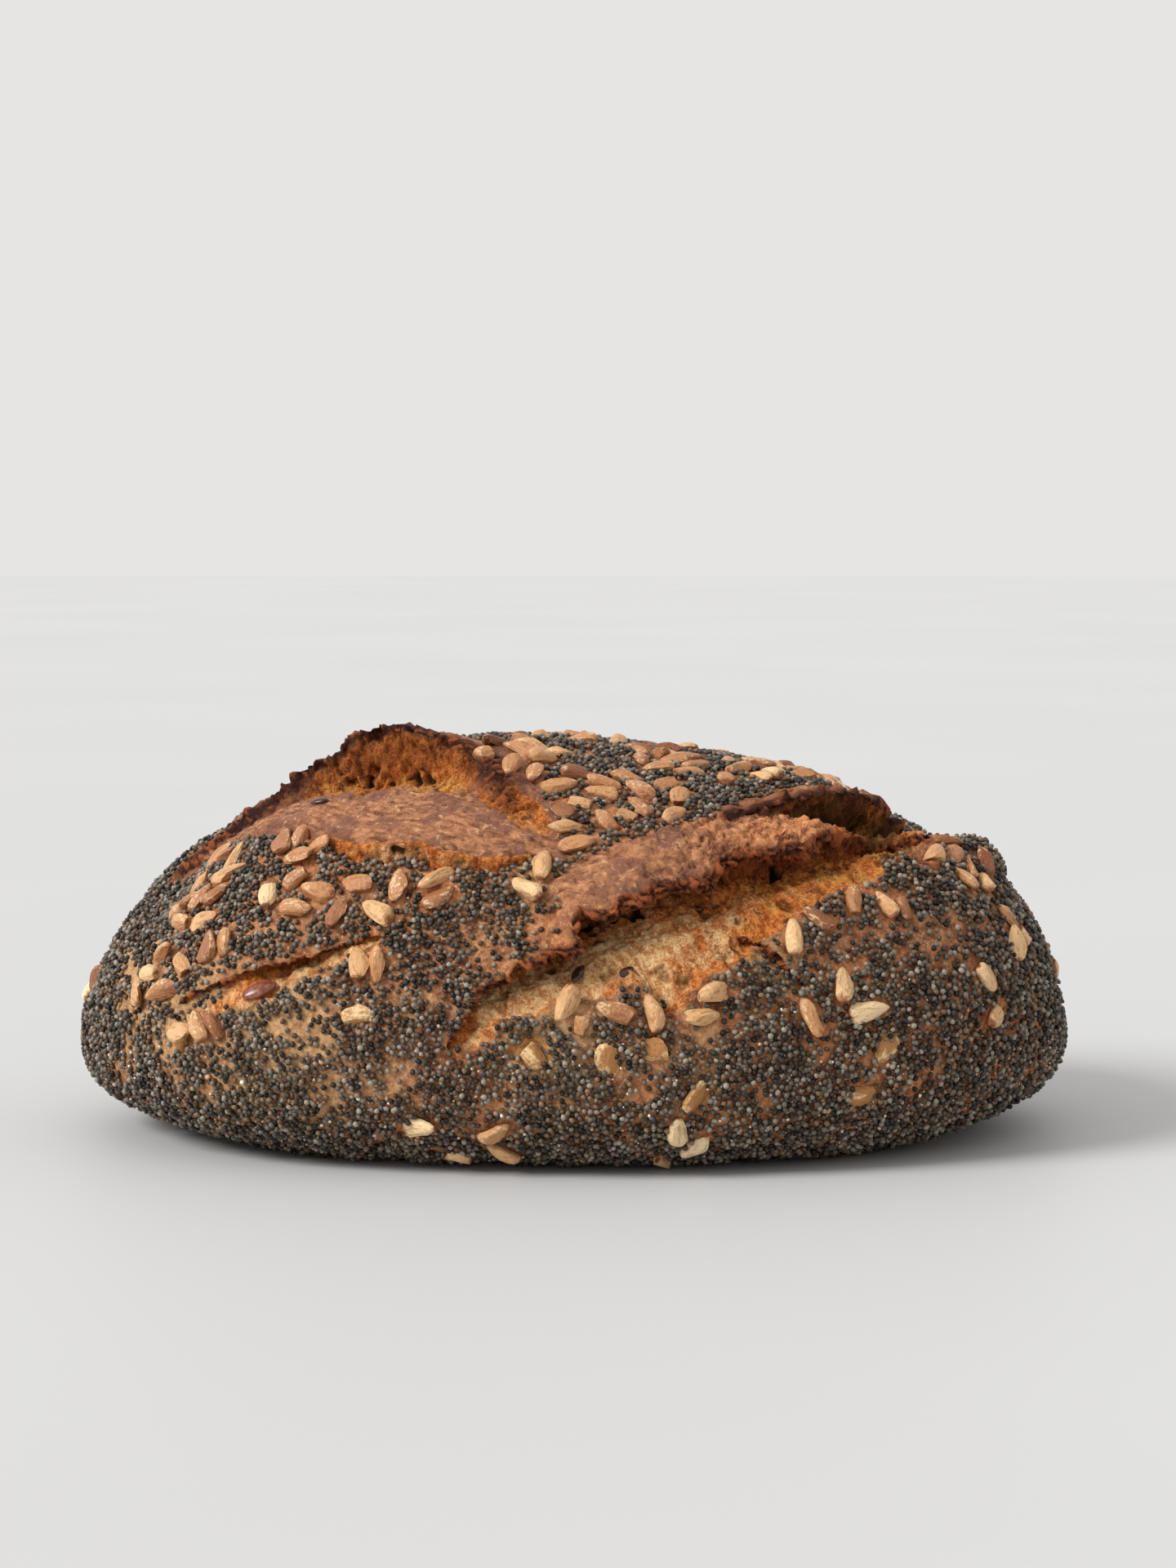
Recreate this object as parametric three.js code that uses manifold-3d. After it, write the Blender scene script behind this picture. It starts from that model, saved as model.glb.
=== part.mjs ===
// A rustic oval loaf baked free on a hearth: one solid of bread whose seeded crust is opened by
// crossing cuts, with sunflower kernels baked on to it.
import * as THREE from "three";
import { mergeVertices } from "three/addons/utils/BufferGeometryUtils.js";
import Module from "manifold-3d";

const wasm = await Module();
wasm.setup();

// Loaf: millimetres, long side along X, the best side towards -Y, resting on Z = 0
const LENGTH = 217;
const DEPTH = 148;
const WAIST = 27;
const RISE = 59.5;
const PLAN_POWER = 2.25;
const DOME_POWER = 2;
const FOOT_POWER = 3.5;
const FOOT_TRIM = 2;

// Uneven crust: two gentle waves all over, and shoulders that sag or stand out from the plain dome
const SWELL = { height: 1.1, along: 19, over: 15, start: 0.5, turn: 0.7 };
const RIPPLE = { height: 0.66, up: 9, over: 21, along: 33 };
const SHOULDERS = [
  { at: [-98, -14, 68], reach: 30, push: -8.5 },
  { at: [89, -9, 62], reach: 8, push: 5 },
  { at: [77, 4, 68], reach: 16, push: -6.5 },
  { at: [-97, -2, 57], reach: 16, push: -3.5 },
  { at: [-25, 0, 87], reach: 8, push: 2 },
  { at: [56, 4, 82], reach: 22, push: -1.5 },
  { at: [24, 3, 88], reach: 24, push: -5 },
  { at: [98, -34, 16], reach: 26, push: -2 },
  { at: [108, -8, 38], reach: 14, push: -1 },
];

// Crust mesh: rows of triangles in the plain dome, and the edge lengths wanted round the cuts and
// within reach of their lips
const DOME_ROWS = 8;
const FINE_EDGE = 4.9;
const REFINE_PASSES = 2;
const LIP_EDGE = 3;
const LIP_REACH = 4;

// Cuts: stations along each cut, left to right, as place on the dome, then the width opened below
// and above the cut, the depth torn out, the lift of the lip and how far the lip laps over
const CUT_SAMPLES = 96;
const CUT_RIM = 1.3;
const BARE_RIM = 1.05;
const EAR_CUT = [
  [-90, 5, 58, 2, 4, 0.5, 1, 0],
  [-79, -2, 66, 4, 6, 1, 1.5, 0],
  [-68, -6, 71, 6, 6, 2, 2.5, 1],
  [-58, -9, 76, 13, 5, 4, 5, 2],
  [-48, -12, 80, 20, 6, 6, 8, 3],
  [-40, -15, 82, 24, 6, 7, 9.5, 3],
  [-33, -19, 82, 24, 7, 6, 5, 2],
  [-27, -26, 81, 18, 8, 5, 2, 1],
  [-22, -36, 78, 10, 7, 3, 1, 0],
  [-18, -44, 75, 5, 5, 1, 0.5, 0],
];
const EAR_TEAR = [
  [-24, -24, 82, 2, 2, 0.5, 0.3, 0],
  [-17, -36, 78, 4, 4, 1.5, 0.6, 0],
  [-10, -45, 74, 6, 4, 2, 0.6, 0],
  [-4, -52, 70, 3, 2, 1, 0.3, 0],
];
const EAR_BAND = [
  [-82, 4, 63, 3, 3, 0.5, 0.5, 0],
  [-71, -12, 68, 4, 6, 1, 0.7, 0],
  [-60, -28, 72, 8, 15, 1, 1, 0],
  [-50, -41, 71, 8, 16, 2, 1.5, 0],
  [-40, -47, 70, 8, 16, 3, 2.5, 0],
  [-30, -50, 70, 8, 15, 3, 2.5, 0],
  [-20, -53, 68, 7, 15, 3, 2, 0],
  [-10, -55, 67, 5, 9, 2, 1.5, 0],
  [-2, -57, 66, 2, 3, 1, 0.5, 0],
];
const CRUMB_CUT = [
  [-20, -72, 40, 8, 6, 4, 1.5, 3],
  [-9, -70, 47, 13, 9, 9, 2, 6],
  [6, -66, 56, 21, 12, 11, 2.5, 8],
  [16, -63, 59, 24, 14, 10, 3, 8],
  [35, -56, 64, 17, 15, 9, 2.5, 7],
  [53, -46, 67, 12, 11, 7, 2, 3],
  [66, -34, 68, 8, 9, 4, 1.5, 1],
  [79, -21, 66, 3, 5, 1, 0.5, 0],
];
const BACK_CUT = [
  [33, -43, 72, 2, 2, 0.5, 0.5, 0],
  [44, -36, 73, 6, 3, 2, 1, 1],
  [53, -29, 74, 16, 3, 9, 1.5, 3],
  [62, -20, 73, 19, 3, 11, 1.5, 3],
  [71, -10, 70, 12, 3, 6, 1, 1],
  [79, -2, 66, 3, 2, 1, 0.5, 0],
];
const LEFT_SLIT = [
  [-82, -52, 34, 5, 3, 1, 0.3, 0],
  [-70, -58, 40, 7, 4, 2, 0.5, 1],
  [-60, -61, 44, 5, 5, 4, 0.7, 2.5],
  [-42, -65, 50, 2, 3, 1, 0.4, 1],
];
const FRONT_CRACK = [
  [36, -66, 50, 3, 4, 2, 1, 1],
  [42, -67, 45, 3, 3, 2, 1, 1],
  [48, -68, 39, 2, 2, 1, 0.5, 0],
];
const TURNED_EDGE = [
  [-25, -74, 28, 4, 3, 1, 0.5, 0],
  [-22, -74, 34, 6, 4, 3, 1, 2],
  [-19, -73, 43, 5, 4, 2, 1, 2],
];

// Cross-sections of a cut: place across it as a share of the width opened on that side, then the
// shift towards the low side as a share of the lap, and the height as shares of depth and lift
const LAPPED_SECTION = [
  [-1.4, 0, 0, 0],
  [-1.02, 0, 0, 0.12],
  [-0.86, 0, -0.36, 0],
  [-0.45, 0, -0.58, 0],
  [0.02, -0.3, -1.05, 0],
  [0.2, 0.2, -0.5, 0],
  [0.32, 1, 0, 0.6],
  [0.45, 0.92, 0, 1],
  [0.62, 0.68, 0, 0.85],
  [0.8, 0.38, 0, 0.55],
  [1.4, 0, 0, 0],
];
const EARED_SECTION = [
  [-1.3, 0, 0, 0],
  [-0.92, 0, -0.06, 0],
  [-0.72, 0, -0.2, 0],
  [-0.42, -0.2, -0.6, 0],
  [-0.15, -0.5, -1, 0],
  [0.15, -0.55, -0.9, 0.05],
  [0.5, -0.15, -0.4, 0.3],
  [0.85, 0.3, 0, 0.8],
  [1.05, 0.5, 0, 1],
  [1.7, 0.2, 0, 0.75],
  [2.3, 0.1, 0, 0.4],
  [3.2, 0, 0, 0],
];
const STEPPED_SECTION = [
  [-1.4, 0, 0, 0],
  [-1.02, 0, -0.6, 0],
  [-0.74, 0, 0, 1],
  [-0.5, 0, 0, 0.95],
  [0.1, 0, 0, 0.6],
  [1, 0, 0, 0],
];
const TORN_SECTION = [
  [-1.3, 0, 0, 0],
  [-0.5, 0, -0.9, 0],
  [0.1, 0, -1, 0],
  [0.6, 0, -0.4, 0.4],
  [0.9, 0, 0, 1],
  [1.3, 0, 0, 0.6],
  [1.8, 0, 0, 0],
];

// Kernels: shelled sunflower seeds in patches, each a place, its reach along and across, and a count
const KERNEL = { long: 8.8, wide: 4.6, thick: 3.1, taper: 0.35, sunk: 0.22, hold: 0.3, sides: 5, rows: 4 };
const KERNEL_SPACING = 4;
const KERNEL_TURNS = 6;
const TRIES = 16;
const DRAWS_APART = 37;
const PATCHES = [
  { at: [-78, -29, 58], reach: [9, 17], count: 12 },
  { at: [-55, -43, 67], reach: [11, 5], count: 5 },
  { at: [-59, -53, 56], reach: [7, 7], count: 5 },
  { at: [-43, -58, 57], reach: [11, 6], count: 7 },
  { at: [-31, -60, 58], reach: [5, 4], count: 2 },
  { at: [-42, -65, 46], reach: [3, 4], count: 1 },
  { at: [-87, -43, 40], reach: [9, 7], count: 6 },
  { at: [-80, -54, 32], reach: [10, 4], count: 3 },
  { at: [-76, -50, 46], reach: [4, 4], count: 2 },
  { at: [-106, -10, 31], reach: [3, 6], count: 1 },
  { at: [-11, -20, 83], reach: [8, 15], count: 8 },
  { at: [9, -38, 76], reach: [16, 12], count: 13 },
  { at: [1, -53, 69], reach: [5, 4], count: 2 },
  { at: [-5, -61, 61], reach: [9, 3], count: 4 },
  { at: [28, -12, 81], reach: [16, 14], count: 8 },
  { at: [55, 0, 79], reach: [16, 8], count: 6 },
  { at: [10, 4, 86], reach: [24, 8], count: 4 },
  { at: [83, -25, 60], reach: [10, 10], count: 7 },
  { at: [62, -52, 57], reach: [8, 5], count: 5 },
  { at: [45, -62, 53], reach: [7, 5], count: 4 },
  { at: [94, -33, 45], reach: [4, 6], count: 2 },
  { at: [106, -8, 38], reach: [3, 6], count: 1 },
  { at: [87, -49, 33], reach: [3, 7], count: 2 },
  { at: [52, -65, 37], reach: [10, 6], count: 2 },
  { at: [20, -68, 8], reach: [80, 8], count: 5 },
  { at: [-34, 34, 77], reach: [36, 22], count: 10 },
  { at: [44, 34, 74], reach: [34, 22], count: 9 },
  { at: [0, 62, 52], reach: [75, 18], count: 6 },
  { at: [4, -74, 36], reach: [7, 3], count: 2 },
  { at: [24, -72, 36], reach: [9, 3], count: 3 },
];

// Facets that differ by less than this are joined after fusing
const WELD = 0.15;

// Smallest distance from the middle of the dome, and the step, that a slope is read at
const POLE_GAP = 1e-3;
const SLOPE_STEP = 0.02;

const CRUST_COLOUR = 0x4a3a2c;
const CRUST_ROUGHNESS = 0.8;

// Plain dome: one reach for every direction from the middle of the widest level
function domePoint(direction) {
  const upper = direction.z > 0;
  const power = upper ? DOME_POWER : FOOT_POWER;
  const tall = upper ? RISE : WAIST + FOOT_TRIM;
  const across = Math.abs(direction.x * 2 / LENGTH) ** PLAN_POWER;
  const deep = Math.abs(direction.y * 2 / DEPTH) ** PLAN_POWER;
  const plan = (across + deep) ** (1 / PLAN_POWER);
  const gauge = (plan ** power + Math.abs(direction.z / tall) ** power) ** (1 / power);
  return direction.clone().divideScalar(gauge);
}

function domeNormal(point) {
  const upper = point.z > 0;
  const power = upper ? DOME_POWER : FOOT_POWER;
  const tall = upper ? RISE : WAIST + FOOT_TRIM;
  const along = point.x * 2 / LENGTH;
  const over = point.y * 2 / DEPTH;
  const bend = Math.max(Math.hypot(along, over), POLE_GAP) ** (power - PLAN_POWER);
  const slope = (share, half) => bend * Math.sign(share) * Math.abs(share) ** (PLAN_POWER - 1) / half;
  const rise = Math.sign(point.z) * Math.abs(point.z / tall) ** (power - 1) / tall;
  return new THREE.Vector3(slope(along, LENGTH / 2), slope(over, DEPTH / 2), rise).normalize();
}

const fromBase = ([x, y, z]) => new THREE.Vector3(x, y, z - WAIST);

// Crust before cutting: the dome with its swells and shoulders
function crustPoint(direction) {
  const point = domePoint(direction);
  const { x, y, z } = point;
  const wave = Math.sin(x / SWELL.along + SWELL.start) * Math.cos(y / SWELL.over - SWELL.turn);
  let push = SWELL.height * wave;
  push += RIPPLE.height * Math.sin(z / RIPPLE.up + y / RIPPLE.over + x / RIPPLE.along);
  for (const shoulder of SHOULDERS) {
    const far = point.distanceTo(fromBase(shoulder.at)) / shoulder.reach;
    push += shoulder.push * Math.exp(-far * far);
  }
  return point.addScaledVector(domeNormal(point), push);
}

// Smooth curve through the rows of a table, read at its first column
function readSection(section, place) {
  const last = section.length - 1;
  if (place <= section[0][0] || place >= section[last][0]) {
    return [0, 0, 0];
  }
  const next = section.findIndex((row) => row[0] > place);
  const from = section[next - 1];
  const to = section[next];
  const share = (place - from[0]) / (to[0] - from[0]);
  const ease = share * share * (3 - 2 * share);
  return [1, 2, 3].map((column) => from[column] + (to[column] - from[column]) * ease);
}

// Cut: its line on the crust, with the sizes of its stations carried along it, where its lip lies
// across it, and how soon it fades past its ends
function makeCut(stations, section, lip, blunt) {
  const places = stations.map((row) => crustPoint(fromBase(row)));
  const line = new THREE.CatmullRomCurve3(places, false, "catmullrom");
  const widths = stations.map((row) => new THREE.Vector3(row[3], row[4], row[5]));
  const lips = stations.map((row) => new THREE.Vector3(row[6], row[7], 0));
  const widthLine = new THREE.CatmullRomCurve3(widths, false, "catmullrom");
  const lipLine = new THREE.CatmullRomCurve3(lips, false, "catmullrom");
  const samples = [];
  for (let i = 0; i <= CUT_SAMPLES; i += 1) {
    const share = i / CUT_SAMPLES;
    const [below, above, depth] = widthLine.getPoint(share).toArray();
    const [lift, lap] = lipLine.getPoint(share).toArray();
    const along = line.getTangent(share);
    samples.push({ place: line.getPoint(share), along, below, above, depth, lift, lap });
  }
  return { samples, section, lip, blunt };
}

const CUTS = [
  makeCut(EAR_CUT, EARED_SECTION, 1, 8),
  makeCut(EAR_BAND, STEPPED_SECTION, -0.8, 8),
  makeCut(EAR_TEAR, TORN_SECTION, 0.9, 5),
  makeCut(CRUMB_CUT, LAPPED_SECTION, 0.3, 4),
  makeCut(BACK_CUT, EARED_SECTION, 1, 8),
  makeCut(LEFT_SLIT, LAPPED_SECTION, 0.3, 6),
  makeCut(FRONT_CRACK, LAPPED_SECTION, 0.3, 5),
  makeCut(TURNED_EDGE, LAPPED_SECTION, 0.3, 5),
];

// Place across a cut as a share of the width opened there, and the way up its side
function acrossCut(cut, point, normal) {
  let near = cut.samples[0];
  for (const sample of cut.samples) {
    if (sample.place.distanceToSquared(point) < near.place.distanceToSquared(point)) {
      near = sample;
    }
  }
  const side = normal.clone().cross(near.along).normalize();
  const away = point.clone().sub(near.place);
  const offset = Math.sign(away.dot(side)) * away.length();
  const beyond = Math.abs(away.dot(near.along)) / cut.blunt;
  const share = offset / (offset < 0 ? near.below : near.above);
  return { near, side, share, fade: Math.max(0, 1 - beyond) };
}

// Skin of the baked loaf: the crust with every cut opened, trimmed flat underneath
function skinPoint(direction) {
  const crust = crustPoint(direction);
  const normal = domeNormal(crust);
  const point = crust.clone();
  for (const cut of CUTS) {
    const { near, side, share, fade } = acrossCut(cut, crust, normal);
    const [lapped, deep, lifted] = readSection(cut.section, share);
    point.addScaledVector(side, -lapped * near.lap * fade);
    point.addScaledVector(normal, (deep * near.depth + lifted * near.lift) * fade);
  }
  point.z = Math.max(point.z, -WAIST) + WAIST;
  return point;
}

const nearCut = (point, limit) => {
  const normal = domeNormal(point);
  return CUTS.some((cut) => {
    const { share, fade } = acrossCut(cut, point, normal);
    return fade > 0 && Math.abs(share) < limit;
  });
};

const nearLip = (point) => {
  const normal = domeNormal(point);
  return CUTS.some((cut) => {
    const { near, share, fade } = acrossCut(cut, point, normal);
    const widths = [share, cut.lip].map((place) => place * (place < 0 ? near.below : near.above));
    return fade > 0 && Math.abs(widths[0] - widths[1]) < LIP_REACH;
  });
};

// Ball of directions, with the triangles round the cuts split finer
function crustMesh() {
  const ball = new THREE.IcosahedronGeometry(1, DOME_ROWS);
  ball.deleteAttribute("normal");
  ball.deleteAttribute("uv");
  const merged = mergeVertices(ball);
  const spot = merged.getAttribute("position");
  const corners = [];
  for (let i = 0; i < spot.count; i += 1) {
    const scaled = new THREE.Vector3(LENGTH, DEPTH, RISE * 2);
    scaled.multiply(new THREE.Vector3().fromBufferAttribute(spot, i));
    corners.push(scaled.normalize());
  }
  let faces = [];
  for (let i = 0; i < merged.index.count; i += 3) {
    faces.push([0, 1, 2].map((step) => merged.index.getX(i + step)));
  }
  for (let pass = 0; pass < REFINE_PASSES; pass += 1) {
    faces = splitFaces(corners, faces, FINE_EDGE, (point) => nearCut(point, CUT_RIM));
  }
  faces = splitFaces(corners, faces, LIP_EDGE, nearLip);
  return { corners, faces };
}

function splitFaces(corners, faces, edge, wanted) {
  const halves = new Map();
  const crusts = corners.map(crustPoint);
  const halfway = (a, b) => {
    const key = a < b ? `${a}_${b}` : `${b}_${a}`;
    if (!halves.has(key)) {
      const middle = corners[a].clone().add(corners[b]).normalize();
      const long = crusts[a].distanceTo(crusts[b]) > edge;
      halves.set(key, long && wanted(crustPoint(middle)) ? corners.push(middle) - 1 : -1);
    }
    return halves.get(key);
  };
  const split = [];
  for (const [a, b, c] of faces) {
    const ab = halfway(a, b);
    const bc = halfway(b, c);
    const ca = halfway(c, a);
    split.push(...splitFace([a, b, c], [ab, bc, ca]));
  }
  return split;
}

// One triangle cut at whichever of its edges has a halfway corner
function splitFace(face, middles) {
  const cuts = middles.filter((middle) => middle >= 0).length;
  if (cuts === 0) {
    return [face];
  }
  const turned = [0, 1, 2].find((step) => {
    const first = middles[step] >= 0;
    const before = middles[(step + 2) % 3] >= 0;
    return cuts === 1 ? first : cuts === 3 || (first && before);
  });
  const [a, b, c] = [0, 1, 2].map((step) => face[(turned + step) % 3]);
  const [ab, bc, ca] = [0, 1, 2].map((step) => middles[(turned + step) % 3]);
  if (cuts === 1) {
    return [[a, ab, c], [ab, b, c]];
  }
  if (cuts === 2) {
    return [[a, ab, ca], [ab, b, c], [ab, c, ca]];
  }
  return [[a, ab, ca], [ab, b, bc], [ca, bc, c], [ab, bc, ca]];
}

function solidFrom(points, faces) {
  const vertProperties = new Float32Array(points.flatMap((point) => point.toArray()));
  const triVerts = new Uint32Array(faces.flat());
  return new wasm.Manifold(new wasm.Mesh({ numProp: 3, vertProperties, triVerts }));
}

// Radical inverse: an even spread of shares from a plain count
function evenShare(count, base) {
  let share = 0;
  let step = 1 / base;
  for (let rest = count; rest > 0; rest = Math.floor(rest / base)) {
    share += (rest % base) * step;
    step /= base;
  }
  return share;
}

// Way out of the skin at a direction, from two neighbours a small step away
function skinNormal(direction) {
  const east = new THREE.Vector3(0, 0, 1).cross(direction).normalize();
  const north = direction.clone().cross(east).normalize();
  const here = skinPoint(direction);
  const right = skinPoint(direction.clone().addScaledVector(east, SLOPE_STEP).normalize()).sub(here);
  const up = skinPoint(direction.clone().addScaledVector(north, SLOPE_STEP).normalize()).sub(here);
  return right.cross(up).normalize();
}

// Kernel lying at a place, in the first turn that keeps its tail, middle and tip clear of the others
function layKernel(place, normal, share, others) {
  const east = new THREE.Vector3(0, 0, 1).cross(normal).normalize();
  for (let step = 0; step < KERNEL_TURNS; step += 1) {
    const turn = (share + step / KERNEL_TURNS) * Math.PI;
    const along = east.clone().applyAxisAngle(normal, turn);
    const reach = KERNEL.long * KERNEL.hold;
    const holds = [-reach, 0, reach].map((out) => place.clone().addScaledVector(along, out));
    const touches = (hold) => holds.some((own) => own.distanceTo(hold) < KERNEL_SPACING);
    if (!others.some((other) => other.holds.some(touches))) {
      return { place, normal, along, holds };
    }
  }
  return null;
}

function kernelSolid({ place, normal, along }) {
  const geometry = new THREE.SphereGeometry(1, KERNEL.sides, KERNEL.rows);
  geometry.deleteAttribute("normal");
  geometry.deleteAttribute("uv");
  const merged = mergeVertices(geometry);
  const across = normal.clone().cross(along);
  const spot = merged.getAttribute("position");
  const points = [];
  for (let i = 0; i < spot.count; i += 1) {
    const end = spot.getY(i);
    const slim = 1 - KERNEL.taper * end;
    const point = place.clone().addScaledVector(along, end * KERNEL.long / 2);
    point.addScaledVector(across, -spot.getX(i) * slim * KERNEL.wide / 2);
    point.addScaledVector(normal, (spot.getZ(i) * slim / 2 + 0.5 - KERNEL.sunk) * KERNEL.thick);
    points.push(point);
  }
  const faces = [];
  for (let i = 0; i < merged.index.count; i += 3) {
    faces.push([0, 1, 2].map((step) => merged.index.getX(i + step)));
  }
  return solidFrom(points, faces);
}

// Kernels scattered over their patches, none in an open cut or on top of another
function scatterKernels() {
  const kernels = [];
  for (const [number, patch] of PATCHES.entries()) {
    const middle = fromBase(patch.at);
    const normal = domeNormal(crustPoint(middle));
    const along = new THREE.Vector3(1, 0, 0).projectOnPlane(normal).normalize();
    const across = normal.clone().cross(along);
    let placed = 0;
    for (let draw = 1; placed < patch.count && draw <= patch.count * TRIES; draw += 1) {
      const count = draw + number * DRAWS_APART;
      const round = evenShare(count, 2) * Math.PI * 2;
      const out = Math.sqrt(evenShare(count, 3));
      const aim = middle.clone().addScaledVector(along, Math.cos(round) * out * patch.reach[0]);
      aim.addScaledVector(across, Math.sin(round) * out * patch.reach[1]);
      const direction = aim.normalize();
      if (nearCut(crustPoint(direction), BARE_RIM)) {
        continue;
      }
      const share = evenShare(count, 5);
      const kernel = layKernel(skinPoint(direction), skinNormal(direction), share, kernels);
      if (kernel) {
        kernels.push(kernel);
        placed += 1;
      }
    }
  }
  return kernels.map(kernelSolid);
}

// Bread with its kernels fused on: the largest body is the loaf, and no sealed hollow stays in it
function bakeLoaf() {
  const { corners, faces } = crustMesh();
  const bread = solidFrom(corners.map(skinPoint), faces);
  const fused = wasm.Manifold.union([bread, ...scatterKernels()]).simplify(WELD);
  const bodies = fused.decompose().sort((a, b) => b.volume() - a.volume());
  const { vertProperties, triVerts } = bodies[0].getMesh();
  const geometry = new THREE.BufferGeometry();
  geometry.setAttribute("position", new THREE.BufferAttribute(new Float32Array(vertProperties), 3));
  geometry.setIndex(new THREE.BufferAttribute(new Uint32Array(triVerts), 1));
  geometry.computeVertexNormals();
  return geometry;
}

const baked = { color: CRUST_COLOUR, roughness: CRUST_ROUGHNESS, metalness: 0 };
const crust = new THREE.MeshStandardMaterial(baked);
const loaf = new THREE.Mesh(bakeLoaf(), crust);
loaf.name = "loaf";

const bread = new THREE.Group();
bread.add(loaf);

export default bread;
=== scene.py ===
import itertools
import math

import bmesh
import bpy
import numpy as np
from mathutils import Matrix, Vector, noise


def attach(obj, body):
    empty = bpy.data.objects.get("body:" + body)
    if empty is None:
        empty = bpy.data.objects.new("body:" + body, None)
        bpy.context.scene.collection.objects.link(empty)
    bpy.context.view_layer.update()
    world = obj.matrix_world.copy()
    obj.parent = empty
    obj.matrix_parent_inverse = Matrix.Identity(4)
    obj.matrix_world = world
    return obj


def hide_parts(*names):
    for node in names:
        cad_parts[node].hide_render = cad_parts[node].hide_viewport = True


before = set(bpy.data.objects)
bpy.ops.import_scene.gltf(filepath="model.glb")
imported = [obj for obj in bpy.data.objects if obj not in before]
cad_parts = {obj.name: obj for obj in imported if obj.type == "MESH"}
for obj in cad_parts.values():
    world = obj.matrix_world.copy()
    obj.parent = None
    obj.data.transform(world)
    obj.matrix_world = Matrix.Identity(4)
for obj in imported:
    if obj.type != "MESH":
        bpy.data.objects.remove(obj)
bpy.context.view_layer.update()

# Bread
# A free-baked oval loaf of wheat and rye dough, cut crosswise with a blade before baking on a hearth.
# The cuts tore open in the oven: their upper lips curl over the pale crumb and brown at the edge.

MM = 0.001
LENGTH = 217.0
DEPTH = 148.0
WAIST = 27.0
RISE = 59.5
PLAN_POWER = 2.25
DOME_POWER = 2.0
FOOT_POWER = 3.5
FOOT_TRIM = 2.0
POLE_GAP = 1e-3

# Uneven crust: two gentle waves all over, and shoulders that stand out or sag, each a place on the
# dome, a reach and a height
SWELL = {"height": 1.1, "along": 19, "over": 15, "start": 0.5, "turn": 0.7}
RIPPLES = {"height": 0.66, "up": 9, "over": 21, "along": 33}
SHOULDERS = [
    ((-98, -14, 68), 30, -8.5),
    ((89, -9, 62), 8, 5.0),
    ((77, 4, 68), 16, -6.5),
    ((-97, -2, 57), 16, -3.5),
    ((-25, 0, 87), 8, 2.0),
    ((56, 4, 82), 22, -1.5),
    ((24, 3, 88), 24, -5.0),
    ((98, -34, 16), 26, -2.0),
    ((108, -8, 38), 14, -1.0),
]


def halves(points):
    """Power and height of the half that each point is in, above or below the widest level."""
    upper = points[:, 2] > 0
    return np.where(upper, DOME_POWER, FOOT_POWER), np.where(upper, RISE, WAIST + FOOT_TRIM)


def dome(directions):
    """Plain dome: the point reached in each direction from the middle of the widest level."""
    power, tall = halves(directions)
    share = np.abs(directions[:, :2]) / (LENGTH / 2, DEPTH / 2)
    plan = (share ** PLAN_POWER).sum(axis=1) ** (1 / PLAN_POWER)
    gauge = (plan ** power + (np.abs(directions[:, 2]) / tall) ** power) ** (1 / power)
    return directions / gauge[:, None]


def dome_normal(points):
    """Way out of the plain dome at each point."""
    power, tall = halves(points)
    half = np.array((LENGTH / 2, DEPTH / 2))
    share = points[:, :2] / half
    bend = np.maximum(np.hypot(share[:, 0], share[:, 1]), POLE_GAP) ** (power - PLAN_POWER)
    slope = bend[:, None] * np.sign(share) * np.abs(share) ** (PLAN_POWER - 1) / half
    rise = np.sign(points[:, 2]) * (np.abs(points[:, 2]) / tall) ** (power - 1) / tall
    return unit(np.column_stack((slope, rise)))


def lengths(vectors):
    return np.linalg.norm(vectors, axis=1)


def unit(vectors):
    return vectors / np.maximum(lengths(vectors)[:, None], 1e-9)


def from_base(places):
    """Places measured from the base, moved to the middle of the widest level."""
    return np.asarray(places, float)[:, :3] - (0, 0, WAIST)


def crust(directions):
    """Crust before cutting: the dome with its swells and shoulders."""
    points = dome(directions)
    x, y, z = points.T
    swell = np.sin(x / SWELL["along"] + SWELL["start"]) * np.cos(y / SWELL["over"] - SWELL["turn"])
    ripples = np.sin(z / RIPPLES["up"] + y / RIPPLES["over"] + x / RIPPLES["along"])
    push = SWELL["height"] * swell + RIPPLES["height"] * ripples
    for place, reach, amount in SHOULDERS:
        far = lengths(points - from_base([place])) / reach
        push += amount * np.exp(-far * far)
    return points + dome_normal(points) * push[:, None]


# Cuts: stations as place on the dome, then the width opened below and above the cut, the depth torn
# out, the lift of the lip, how far it laps over, how bare the crust beside it is, and how far the
# crumb shows on the low side and on the high side
EAR_CUT = [
    (-90, 5, 58, 2, 4, 0.5, 1, 0, 0.6, 0, 0),
    (-79, -2, 66, 4, 6, 1, 1.5, 0, 1, 0, 0),
    (-68, -6, 71, 6, 6, 2, 2.5, 1, 1, 0, 0.1),
    (-58, -9, 76, 13, 5, 4, 5, 2, 1, 0.2, 0.6),
    (-48, -12, 80, 20, 6, 6, 8, 3, 1, 0.8, 1),
    (-40, -15, 82, 24, 6, 7, 9.5, 3, 1, 1, 1),
    (-33, -19, 82, 24, 7, 6, 5, 2, 1, 1, 1),
    (-27, -26, 81, 18, 8, 5, 2, 1, 1, 0.8, 0.7),
    (-22, -36, 78, 10, 7, 3, 1, 0, 1, 0.3, 0.2),
    (-18, -44, 75, 5, 5, 1, 0.5, 0, 1, 0, 0),
]
EAR_TEAR = [
    (-24, -24, 82, 2, 2, 0.5, 0.3, 0, 1, 0.2, 0.2),
    (-17, -36, 78, 4, 4, 1.5, 0.6, 0, 1, 0.8, 0.6),
    (-10, -45, 74, 6, 4, 2, 0.6, 0, 1, 1, 0.8),
    (-4, -52, 70, 3, 2, 1, 0.3, 0, 1, 0.6, 0.4),
]
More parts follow.
